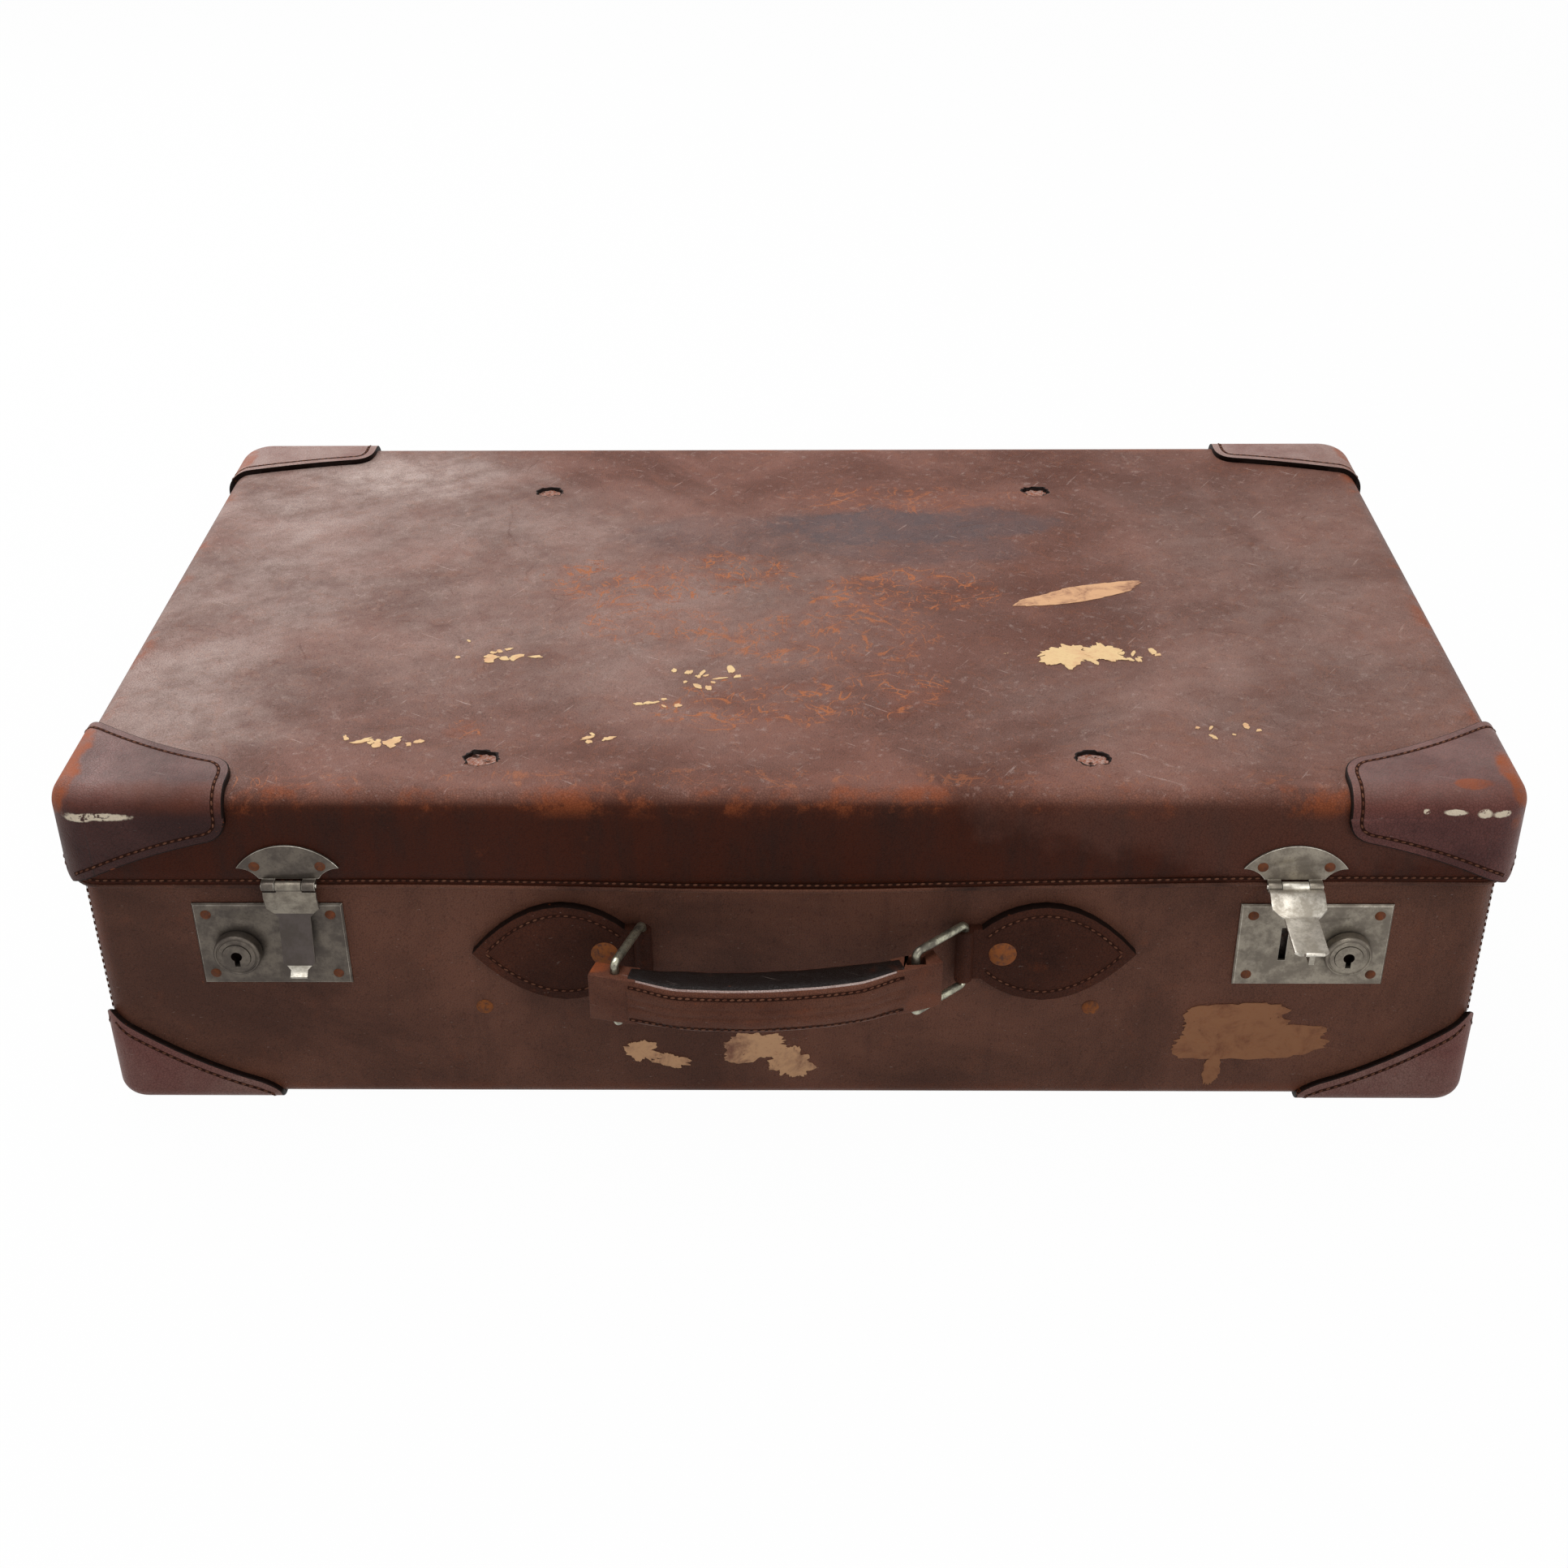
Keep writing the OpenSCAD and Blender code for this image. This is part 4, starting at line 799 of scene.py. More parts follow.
def make_finishes():
    """Makes every finish once, by its name."""
    c = colours()
    make_groups()
    over, under = spot_at(0, 0, 203), spot_at(0, 0, -22)
    base_box = (over, (BASE_HIGH.x - 3 * MM, 0.1932, 0.197))
    lid_cap_box = (under, (LID_HIGH.x - 3 * MM, 0.197, 0.197))
    base_cap_box = (over, (BASE_HIGH.x - 1 * MM, 0.195, 0.2))
    reach_of = lambda *lengths: tuple(n * MM for n in lengths)
    corner = (9, 20, 16)
    rubbed = ((-329, -160, 178, corner, 1.0), (-328, -185, 178, corner, 1.0), (329, -182, 178, corner, 1.0),
              (306, -193, 181, (9, 3.5, 5), 0.7), (-329, 175, 178, corner, 0.7), (330, 185, 178, corner, 0.8),
              (330, -203, 165, (8, 8, 8), 0.6))
    lid_spots = [(spot_at(x, y, z), reach_of(*reach), share) for x, y, z, reach, share in rubbed]
    scrapes = ((-308, 169, 17, 1.9), (-317, 168, 8, 1.8), (297, 171.5, 5, 1.4), (310, 171, 3, 2),
               (318, 170.5, 4, 1.8), (284, 172, 1.6, 1.4))
    scraped = [(spot_at(x, -203, z), reach_of(wide, 7, high)) for x, z, wide, high in scrapes]
    # Painted shade on the front left cap, which takes less light than the right.
    painted_cap_shade = [(spot_at(-300, -206, 148), reach_of(75, 20, 30), 0.5)]
    gripped = ((spot_at(-85, -226, 105), reach_of(6, 6, 5), 1.0),
               (spot_at(64, -229, 84), reach_of(9, 9, 6), 0.2))
    FINISHES.update(
        lid=lid_finish(),
        base=leather("base leather", c.base, c.base_deep, base_box, 0.5),
        lid_cap=leather("lid cap leather", c.cap, c.cap_deep, lid_cap_box, 0.35, lid_spots, scraped,
                        grain=700, bloom=0.14, dark=painted_cap_shade),
        rear_cap=leather("rear cap leather", c.lid, c.cap, lid_cap_box, 0.5, lid_spots, grain=700, bloom=0.4),
        # The base caps' paler tone is painted light from the floor.
        base_cap=leather("base cap leather", c.base_cap, c.cap, base_cap_box, 0.2, grain=700),
        tab=leather("tab leather", c.tab, c.tab_deep, grain=760, streaks=0, gloss=0.06),
        # Painted highlight: the rim strip is lighter than the lid's walls, as if its rounded edge catches the
        # light.
        rim=leather("rim leather", c.base, c.tab_deep, streaks=0),
        handle=leather("handle leather", c.base, c.tab, spots=gripped, grain=1000, shine=(0.34, 0.5),
                       streaks=0, gloss=0.1),
        waxed=leather("waxed handle leather", c.edge, c.edge, grain=1100, shine=(0.3, 0.45),
                      streaks=0, gloss=0.12),
        # Painted highlight: a pale, glossy band along the front of the handle's top.
        ridge=leather("polished ridge leather", c.dust_and_sheen, c.lid, grain=1100, shine=(0.2, 0.34),
                      streaks=0, gloss=0.4),
        label=paper_finish("stained label", c.label, c.base),
        edge=cut_edge_finish(),
        # Painted shade: the left side's metal is darker than the right.
        steel_left=metal_finish("dull steel", c.dull, c.tarnish, -0.06),
        steel_right=metal_finish("grey steel", c.steel, c.dull, -0.06),
        hasp_left=metal_finish("blued steel", c.blued, c.tarnish, -0.12),
        # The right hasp's bright tone is partly painted highlight where its raised tongue faces the light.
        hasp_right=metal_finish("hasp steel", c.bright, c.steel, -0.1),
        # Worn steel, partly painted highlight.
        bright=metal_finish("worn steel", c.bright, c.steel, -0.12, (0.3, 0.42)),
        dark=metal_finish("lock case steel", c.tarnish, c.edge, 0.0, (0.5, 0.7)),
        rust=rust_finish("rusted steel", c.rust),
        rivet=rust_finish("rusted rivets", c.rivet),
        nickel=metal_finish("worn nickel", c.nickel, c.tarnish, -0.13, (0.24, 0.4)),
        thread=thread_finish(),
        # Painted shade in the seams' grooves and inside the keyholes.
        groove=shade_finish("seam groove", c.tab_deep),
        hollow=shade_finish("keyhole dark", c.edge),
        paper=paper_finish("brown paper", c.paper, c.lid),
        cream=paper_finish("cream paper", c.cream, c.paper),
        lining=lining_finish(),
        board=board_finish(),
    )


# The pieces

HOLES = [spot_at(x, y) for x in (-140, 140) for y in (-167, 130)]
HOLE_REACH = 15 * MM
HOLE_RIM = (10.5 * MM, 9 * MM)
HOLE_HALF = (10 * MM, 8.4 * MM)
# A torn hole's rings: share of its size, drop in millimetres, finish
HOLE_RINGS = ((0.84, -0.5, 0), (0.76, -0.4, 2), (0.7, 1.4, 2), (0.6, 2.0, 1), (0.25, 2.1, 1))


def torn_hole(bm, centre, seed):
    """A ragged hole in the lid's top: a curled lip, torn walls and bare board below."""
    top = LID_HIGH.z
    near = lambda co: max(abs(co.x - centre.x), abs(co.y - centre.y)) < HOLE_REACH + 1e-5
    on_top = lambda v: near(v.co) and v.co.z > top - 1e-4
    flat = [f for f in bm.faces if near(f.calc_center_median()) and f.normal.z > 0.9]
    bmesh.ops.delete(bm, geom=flat, context="FACES")
    outer = [e for e in bm.edges if e.is_boundary and all(on_top(v) for v in e.verts)]
    place = Matrix.Translation(Vector((centre.x, centre.y, top))) @ Matrix.Diagonal((*HOLE_RIM, 1, 1))
    ring = bmesh.ops.create_circle(bm, segments=36, radius=1, matrix=place)
    loop = around(ring["verts"])
    bmesh.ops.bridge_loops(bm, edges=outer + loop)
    for scale, drop, finish in HOLE_RINGS:
        verts, loop, faces = grow(bm, loop)
        paint(faces, finish)
        for v in verts:
            way = Vector((v.co.x - centre.x, v.co.y - centre.y, 0)).normalized()
            rag = scale * (1 + 0.24 * wobble(way * 2.2, 1, seed) + 0.2 * wobble(way * 7, 1, seed))
            sunk = drop * MM * (1 + 0.5 * wobble(way * 4, 1, seed + 1))
            x, y = (centre[i] + way[i] * HOLE_HALF[i] * rag for i in (0, 1))
            v.co = Vector((x, y, top - sunk))
    paint(bmesh.ops.contextual_create(bm, geom=loop)["faces"], 1)


def top_dent(x, y):
    """How far the lid's top is dented or swollen."""
    inset = min(LID_HIGH.x - abs(x), LID_HIGH.y - CASE_MID_Y - abs(y - CASE_MID_Y))
    dent = wobble((x, y, 0), 120 * MM, 1) + 0.35 * wobble((x, y, 0), 42 * MM, 2)
    return smooth(12 * MM, 70 * MM, inset) * sizes().dents * (dent - 0.25)


def settle_lid(bm):
    """Dents the lid's top, and lifts or sags its rim."""
    for v in bm.verts:
        x, y, z = v.co
        if z > LID_HIGH.z - 4 * MM:
            v.co.z += top_dent(x, y)
        elif abs(y - LID_LOW.y) < ON_WALL:
            sunk = 0.4 * MM * (0.5 + 0.5 * wobble((x, y, z), 60 * MM, 4)) * smooth(0, 12 * MM, LID_HIGH.z - z)
            v.co.y += sunk * smooth(250 * MM, 180 * MM, abs(x))
        v.co.z += smooth(34 * MM, 2 * MM, z - LID_LOW.z) * rim_lift(x, y)


class SUITCASE_OT_lid(bpy.types.Operator):
    """Lid with its torn strap holes, its sewn rim strip and the seam above it"""

    bl_idname = "suitcase.lid"
    bl_label = "Lid"

    def execute(self, context):
        bm = bmesh.new()
        open_box(bm, LID_LOW, LID_HIGH, LID_CORNER, LID_EDGE, open_top=False)
        marks = [[hole[axis] + d for hole in HOLES for d in (-HOLE_REACH, HOLE_REACH)] for axis in (0, 1)]
        dice(bm, LID_LOW, LID_HIGH - Vector((0, 0, LID_EDGE)), (11, 11, 8), (*marks, ()))
        bm.normal_update()
        for i, hole in enumerate(HOLES):
            torn_hole(bm, hole, i + 1)
        settle_lid(bm)
        lid = finish_piece("lid_leather", bm, "lid board edge", "lid", ["lid_shell"], 50)
        thicken(lid, "Wall", sizes().skin)

        bm = copy_of("lid_rim_strip")
        round_edges(bm, sharp_edges(bm, 50), 0.55 * MM, 2)
        slice_up(bm, 0, steps(LID_LOW.x, LID_HIGH.x, 14 * MM))
        for v in bm.verts:
            v.co.z += rim_lift(v.co.x, v.co.y)
        # The rim strip's lighter leather is a painted highlight.
        finish_piece("rim_strip_leather", bm, "rim", "lid", ["lid_rim_strip"])

        bm = bmesh.new()
        sew(bm, self.rim_path(), wide=1.1)
        finish_piece("rim_thread", bm, SEAM, "lid")
        return {"FINISHED"}

    def rim_path(self):
        """Round the lid's walls, just above the rim."""
        ring = bmesh.new()
        size = Matrix.Diagonal((LID_HIGH.x - LID_LOW.x, LID_HIGH.y - LID_LOW.y, 1, 1))
        place = Matrix.Translation((0, CASE_MID_Y, 0)) @ size
        bmesh.ops.create_grid(ring, x_segments=1, y_segments=1, size=0.5, matrix=place)
        bmesh.ops.bevel(ring, geom=ring.verts[:], offset=LID_CORNER, affect="VERTICES", segments=CORNER_STEPS,
                        profile=0.5, material=-1)
        face = max(ring.faces, key=lambda f: f.calc_area())
        loop = [v.co.copy() for v in face.verts]
        ring.free()
        height = LID_LOW.z - 2 * MM + sizes().rim_seam
        path = []
        for a, b in zip(loop, loop[1:] + loop[:1]):
            count = max(1, round((b - a).length / (12 * MM)))
            normal = (b - a).cross(Vector((0, 0, 1))).normalized()
            for p in (a.lerp(b, i / count) for i in range(count)):
                path.append((Vector((p.x, p.y, height + rim_lift(p.x, p.y))), normal))
        path.append(path[0])
        if (path[1][0] - Vector((0, CASE_MID_Y, 0))).dot(path[1][1]) < 0:
            path = [(p, -n) for p, n in path]
        return path


# The rear hinges: distance of each from the middle, and half of the wall that it holds flat
HINGE_X = 190 * MM
HINGE_HOLD = 40 * MM
# Heights in millimetres and turn of the seams up the base's corners
UPRIGHT_SEAM = (52, 75, 100, 126)
UPRIGHT_TURN = math.radians(30)


def wall_sink(x, y, z):
    """How far a wall of the base is sunk, away from its lip, its floor and its corners."""
    calm = smooth(BASE_LOW.z + 6 * MM, BASE_LOW.z + 40 * MM, z) * smooth(136 * MM, 118 * MM, z)
    return 0.7 * MM * calm * (0.5 + 0.5 * wobble((x, y, z), 70 * MM, 6))


def front_sink(x, y, z):
    """How far the base's front wall is sunk, which its locks hold flat."""
    return wall_sink(x, y, z) * smooth(175 * MM, 120 * MM, abs(x))


def settle_base(bm):
    """Sinks the base's walls, but not where the rear hinges hold them."""
    for v in bm.verts:
        x, y, z = v.co
        if abs(y - BASE_LOW.y) < ON_WALL:
            v.co.y += front_sink(x, y, z)
        elif abs(y - BASE_HIGH.y) < ON_WALL and abs(abs(x) - HINGE_X) > HINGE_HOLD:
            v.co.y -= wall_sink(x, y, z)
        elif abs(abs(x) - BASE_HIGH.x) < ON_WALL:
            v.co.x -= wall_sink(x, y, z) * (1 if x > 0 else -1)


class SUITCASE_OT_base(bpy.types.Operator):
    """Base with its lip binding and its sewn upright edges"""

    bl_idname = "suitcase.base"
    bl_label = "Base"

    def execute(self, context):
        bm = bmesh.new()
        open_box(bm, BASE_LOW, BASE_HIGH, BASE_CORNER, BASE_EDGE, open_top=True)
        rooms = [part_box(f"lock_case_{side}") for side in SIDES]
        sides = [corner.x for room in rooms for corner in room]
        levels = [corner.z for corner in rooms[0]]
        dice(bm, BASE_LOW + Vector((0, 0, BASE_EDGE)), BASE_HIGH, (14, 14, 12), (sides, (), levels))
        spots = {f: f.calc_center_median() for f in bm.faces}
        behind = [
            f for f, spot in spots.items() for low, high in rooms
            if abs(spot.y - BASE_LOW.y) < 1e-5 and low.x < spot.x < high.x and low.z < spot.z < high.z
        ]
        bmesh.ops.delete(bm, geom=behind, context="FACES")
        settle_base(bm)
        base = finish_piece("base_leather", bm, "base", "base", ["base_shell"], 50)
        thicken(base, "Wall", BASE_WALL)

        bm = copy_of("base_binding")
        round_edges(bm, sharp_edges(bm, 50), 0.4 * MM, 2)
        finish_piece("lip_binding_leather", bm, "tab", "base", ["base_binding"])

        bm = bmesh.new()
        for x in (-1, 1):
            for y in (-1, 1):
                wall_y = BASE_LOW.y if y < 0 else BASE_HIGH.y
                middle = Vector((x * (BASE_HIGH.x - BASE_CORNER), wall_y - y * BASE_CORNER, 0))
                normal = Vector((x * math.cos(UPRIGHT_TURN), y * math.sin(UPRIGHT_TURN), 0))
                spot = middle + normal * (BASE_CORNER + 0.15 * MM)
                sew(bm, [(spot + Vector((0, 0, z * MM)), normal) for z in UPRIGHT_SEAM])
        finish_piece("base_thread", bm, SEAM, "base")
        return {"FINISHED"}


class SUITCASE_OT_linings(bpy.types.Operator):
    """Cloth linings of the base and the lid"""

    bl_idname = "suitcase.linings"
    bl_label = "Linings"

    def execute(self, context):
        for name, corner, top in (("base", 7.8 * MM, True), ("lid", 12.3 * MM, False)):
            low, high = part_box(f"{name}_lining")
            bm = bmesh.new()
            open_box(bm, low, high, corner, 3 * MM, open_top=top)
            ends = Vector((0, 0, 4 * MM))
            dice(bm, low + ends, high - ends, (16, 16, 12))
            shut = low.z if top else high.z
            for v in bm.verts:
                if abs(v.co.z - shut) < 0.1 * MM:
                    puff = 0.9 * MM * max(0, wobble(v.co, 55 * MM, 8) + 0.2)
                    v.co.z += puff if top else -puff
            lining = finish_piece(f"{name}_lining_cloth", bm, "lining", name, [f"{name}_lining"], 60)
            thicken(lining, "Cloth", CLOTH_T)
        return {"FINISHED"}


class Skin:
    """The outside of a shell with its caps on: a box with rounded upright edges and a rounded end."""

    def __init__(self, low, high, corner, edge, up):
        self.half = Vector(((high.x - low.x) / 2 + CAP_T, (high.y - low.y) / 2 + CAP_T))
        self.shut = high.z + CAP_T if up > 0 else low.z - CAP_T
        self.corner, self.edge, self.up = corner + CAP_T, edge + CAP_T, up

    def wall(self, x, y):
        """Distance in from the wall, and the wall's direction."""
        px, py = abs(x) - self.half.x + self.corner, abs(y - CASE_MID_Y) - self.half.y + self.corner
        sx, sy = (1 if x > 0 else -1), (1 if y > CASE_MID_Y else -1)
        if px > 0 and py > 0:
            far = math.hypot(px, py)
            return self.corner - far, Vector((sx * px / far, sy * py / far, 0))
        return (self.corner - px, Vector((sx, 0, 0))) if px > py else (self.corner - py, Vector((0, sy, 0)))

    def depth(self, p):
        """Distance of a point in from this outside."""
        nearest, normal = self.on(p)
        return (nearest - p).dot(normal)

    def on(self, p):
        """The point of the outside nearest to p, with its normal."""
        inward, out = self.wall(p.x, p.y)
        below = (self.shut - p.z) * self.up
        up = Vector((0, 0, self.up))
        if inward < self.edge and below < self.edge:
            way = out * (self.edge - inward) + up * (self.edge - below)
            far = way.length
            return p + way * ((self.edge - far) / far), way / far
        return (p + out * inward, out) if inward < below else (p + up * below, up)


def cap_line(long, end, short, inset):
    """A cap's sewn line on one face, from the case's edge to the corner: its cut edge, drawn in."""
    turn = Vector((long * 0.88, end + (short - end) * 0.1))
    line = [Vector((long, 0)), Vector((long, end * 0.25))]
    line += bend(Vector((long, end * 0.5)), Vector((long, end)), turn, 6)
    line += bend(turn, Vector((long * 0.45, end + (short - end) * 0.36)), Vector((0, short)), 14)[1:]
    return [p for p in drawn_in(line, inset) if p.x > -1e-9 and p.y > -1e-9]


CAP_RUN = 79 * MM
CAP_END = 26 * MM
CAP_SIDES = {"front": 67 * MM, "rear": 47 * MM}
CAP_SHELLS = {
    "lid": (LID_LOW, LID_HIGH, LID_CORNER, LID_EDGE, 1, 49 * MM, 20 * MM),
    "base": (BASE_LOW, BASE_HIGH, BASE_CORNER, BASE_EDGE, -1, 53 * MM, 6 * MM),
}


class SUITCASE_OT_caps(bpy.types.Operator):
    """Eight sewn corner caps with rounded edges, blackened partly as cut leather and partly as painted shadow
    """

    bl_idname = "suitcase.caps"
    bl_label = "Corner caps"

    def execute(self, context):
        for shell in CAP_SHELLS:
            skin = Skin(*CAP_SHELLS[shell][:5])
            threads = bmesh.new()
            for row in CAP_SIDES:
                for side in SIDES:
                    self.cap(f"{shell}_cap_{row}_{side}", shell, skin)
                    sew(threads, self.seam(shell, skin, row, side))
            finish_piece(f"{shell}_cap_thread", threads, SEAM, shell)
        return {"FINISHED"}

    def cap(self, node, shell, skin):
        bm = copy_of(node)
        for reach in (skin.edge, skin.corner):
            for axis, middle in ((0, 0), (1, CASE_MID_Y)):
                inset = skin.half[axis] - reach - 0.5 * MM
                slice_up(bm, axis, (middle - inset, middle + inset))
        slice_up(bm, 2, [skin.shut - skin.up * (skin.edge + 0.5 * MM)])
        bm.normal_update()
        depths = {v: skin.depth(v.co) for v in bm.verts}
        outer = {f for f in bm.faces if max(depths[v] for v in f.verts) < CAP_T * 0.4}
        paint({f for f in bm.faces if min(depths[v] for v in f.verts) < CAP_T * 0.4} - outer, 1)
        # The rounded border takes the cut edge's black: partly blackened leather, partly painted shadow along
        # the cap's edge.
        paint(round_edges(bm, border(bm, outer), sizes().cap_round)["faces"], 1)
        kind = "rear_cap" if node.startswith("lid_cap_rear") else f"{shell}_cap"
        finish_piece(f"{node}_leather", bm, f"{kind} edge", shell, [node], 35)

    def seam(self, shell, skin, row, side):
        """The sewn line over the cap's three faces, laid on its outside."""
        low, high, _, _, up, rise, end = CAP_SHELLS[shell]
        depth, inset = CAP_SIDES[row], sizes().seam_in
        sx, sy = (-1 if side == "left" else 1), (-1 if row == "front" else 1)
        corner = Vector((sx * high.x, low.y if row == "front" else high.y, high.z if up > 0 else low.z))
        spot = lambda x, y, z: corner + Vector((-sx * x, -sy * y, -up * z))
        front = [spot(p.x, -CAP_T, p.y) for p in cap_line(CAP_RUN, end, rise, inset)]
        flat = [spot(p.x, p.y, -CAP_T) for p in cap_line(CAP_RUN, CAP_END, depth, inset)]
        flank = [spot(-CAP_T, p.x, p.y) for p in cap_line(depth, end, rise, inset)]
        line = front[::-1] + flat + flank
        fine = [a.lerp(b, i / 4) for a, b in zip(line, line[1:]) for i in range(4)] + line[-1:]
        path = [skin.on(p) for p in fine]
        keep = [path[0]]
        for point, normal in path[1:]:
            if (point - keep[-1][0]).length > 0.4 * MM:
                keep.append((point, normal))
        return keep


TAB_FACE = BASE_LOW.y - 4.5 * MM
TAB_LEN = 80 * MM
TAB_HALF = 26.5 * MM
HANDLE_Z = 92 * MM
PIVOTS = {"left": -66.5 * MM, "right": 82.5 * MM}


def leaf_line(sign, inset):
    """Half of a tab's outline, from its fold to its point, drawn in."""
    start = Vector((7.2, sign * 13)) * MM
    wide = Vector((TAB_LEN * 0.47, sign * TAB_HALF))
    bulge = sign * TAB_HALF * 0.98
    line = bend(start, Vector((TAB_LEN * 0.25, bulge)), wide, 10)
    line += bend(wide, Vector((TAB_LEN * 0.74, bulge)), Vector((TAB_LEN, 0)), 12)[1:]
    return [p for p in drawn_in(line, -inset * sign) if p.x > 9 * MM and p.y * sign > 0]


class SUITCASE_OT_tabs(bpy.types.Operator):
    """Leaf-shaped handle tabs, their seams and their rivets"""

    bl_idname = "suitcase.tabs"
    bl_label = "Handle tabs"

    def execute(self, context):
        threads = bmesh.new()
        for side, sx in zip(SIDES, (-1, 1)):
            self.tab(side)
            for sign in (1, -1):
                line = leaf_line(sign, sizes().seam_in)
                spots = [Vector((PIVOTS[side] + sx * p.x, TAB_FACE, HANDLE_Z + p.y)) for p in line]
                sew(threads, [(spot, Vector((0, -1, 0))) for spot in spots])
            for kind in ("tab_rivet", "wall_rivet"):
                copy_piece(f"{kind}_{side}", "rivet", 0)
        finish_piece("tab_thread", threads, SEAM, "base")
        return {"FINISHED"}

    def tab(self, side):
        """A tab with a rounded, blackened edge round its leaf, but not at its fold; the black on the rounding
        is partly burnished leather, partly painted shadow.
        """
        node = f"handle_tab_{side}"
        bm = copy_of(node)
        bm.normal_update()
        cut = set()
        for f in bm.faces:
            middle = f.calc_center_median()
            on_leaf = abs(middle.x - PIVOTS[side]) > 7 * MM and middle.y < BASE_LOW.y
            if on_leaf and abs(f.normal.y) < 0.3:
                cut.add(f)
        paint(cut, 1)
        lip = [e for e in border(bm, cut) if all(v.co.y < TAB_FACE + 0.1 * MM for v in e.verts)]
        # The rounded lip takes the cut edge's black: partly burnished leather, partly painted shadow.
        paint(round_edges(bm, lip, sizes().tab_round, 4)["faces"], 1)
        finish_piece(f"{node}_leather", bm, "tab edge", "base", [node], 35)


def body_of(node):
    return frame["nodes"][node]["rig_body"]


def copy_piece(node, finish, width, parts=(), rubbed="bright"):
    """A CAD node's own shape, its edges rounded over and brightened, partly as rubbed metal and partly as
    painted highlight; parts give faces another finish.
    """
    bm = copy_of(node)
    bm.normal_update()
    kinds = [finish, rubbed]
    for other, test in parts:
        paint([f for f in bm.faces if test(f)], len(kinds))
        kinds.append(other)
    if width:
        paint(round_edges(bm, sharp_edges(bm, 40), width, 2)["faces"], 1)
    finish_piece(f"{node}_metal", bm, " ".join(kinds), body_of(node), [node], 35)


PIN_ROUND = 0.2 * MM
# A knob's rim, from its ring outward: millimetres in from the rim and back from the face
KNOB_RIM = ((2.3, 0), (2.0, 0.4), (1.6, 0.4), (1.3, 0), (0.7, 0.1), (0.2, 0.6), (0, 1.2))


class SUITCASE_OT_locks(bpy.types.Operator):
    """Lock plates, their rivets, the ringed knobs and the key plugs"""

    bl_idname = "suitcase.locks"
    bl_label = "Locks"

    def execute(self, context):
        for side in SIDES:
            copy_piece(f"lock_plate_{side}", f"steel_{side}", sizes().metal_round)
            copy_piece(f"lock_rivets_{side}", "rust", 0)
            copy_piece(f"lock_case_{side}", "dark", 0)
            copy_piece(f"lock_bolt_{side}", f"steel_{side}", PIN_ROUND)
            self.plug(side)
            self.knob(side)
        return {"FINISHED"}

    def plug(self, side):
        """The key plug, darkened with painted shade inside its keyhole."""
        low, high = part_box(f"key_plug_{side}")
        middle, radius = (low + high) / 2, (high.x - low.x) / 2

        def inside(face):
            spot = face.calc_center_median()
            return (spot - middle).xz.length < radius * 0.8 and spot.y > low.y + 0.2 * MM

        copy_piece(f"key_plug_{side}", f"steel_{side}", 0, [("hollow", inside)])

    def knob(self, side):
        """A turned knob: a stem, a stepped rim and a raised ring round its key plug."""
        node = f"lock_knob_{side}"
        low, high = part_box(node)
        x, z = (low.x + high.x) / 2, (low.z + high.z) / 2
        radius, face, back = (high.x - low.x) / 2, low.y, high.y
        bore, stem, under = 6.55 * MM, 4.5 * MM, low.y + 5.5 * MM
        profile = [(bore, face + 4.2 * MM), (bore, face + 0.2 * MM), (bore + 0.2 * MM, face)]
        profile += [(radius - inward * MM, face + down * MM) for inward, down in KNOB_RIM]
        profile += [(radius, under - 0.4 * MM), (radius - 0.4 * MM, under)]
        profile += [(stem, under), (stem, back), (0, back)]
        bm = bmesh.new()
        verts = [bm.verts.new((x + r, y, z)) for r, y in profile]
        edges = [bm.edges.new(pair) for pair in zip(verts, verts[1:])]
        bmesh.ops.spin(
            bm, geom=verts + edges, cent=(x, 0, z), axis=(0, 1, 0), angle=math.tau, steps=56, use_merge=True
        )
        bmesh.ops.remove_doubles(bm, verts=bm.verts[:], dist=0.005 * MM)
        bmesh.ops.contextual_create(bm, geom=[e for e in bm.edges if e.is_boundary])
        finish_piece(f"{node}_metal", bm, f"steel_{side}", body_of(node), [node], 30)


# The left hasp is lighter above its fold and bright at its tip: partly bare and rubbed steel, partly painted
# highlight
HASP_FOLD = 117 * MM
HASP_TIP = 7 * MM


class SUITCASE_OT_hasps(bpy.types.Operator):
    """Fan-shaped hasp plates, their rivets and pins, and the hasps"""

    bl_idname = "suitcase.hasps"
    bl_label = "Hasps"

    def execute(self, context):
        width = sizes().metal_round
        for side in SIDES:
            copy_piece(f"hasp_plate_{side}", f"steel_{side}", width)
            copy_piece(f"hasp_plate_rivets_{side}", "rust", 0)
            copy_piece(f"hasp_pin_{side}", "bright", PIN_ROUND)
        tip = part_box("hasp_left")[0].z + HASP_TIP
        parts = [
            ("steel_right", lambda f: f.calc_center_median().z > HASP_FOLD),
            ("bright", lambda f: max(v.co.z for v in f.verts) < tip),
        ]
        copy_piece("hasp_left", "hasp_left", width, parts, "steel_left")
        copy_piece("hasp_right", "hasp_right", width)
        return {"FINISHED"}


class SUITCASE_OT_hinges(bpy.types.Operator):
    """Rear hinges with their pins and rivets"""

    bl_idname = "suitcase.hinges"
    bl_label = "Rear hinges"

    def execute(self, context):
        for side in SIDES:
            for part in ("base", "lid"):
                copy_piece(f"hinge_{part}_leaf_{side}", f"steel_{side}", sizes().metal_round)
                copy_piece(f"hinge_{part}_rivets_{side}", "rust", 0)
            copy_piece(f"hinge_pin_{side}", "bright", PIN_ROUND)
        return {"FINISHED"}


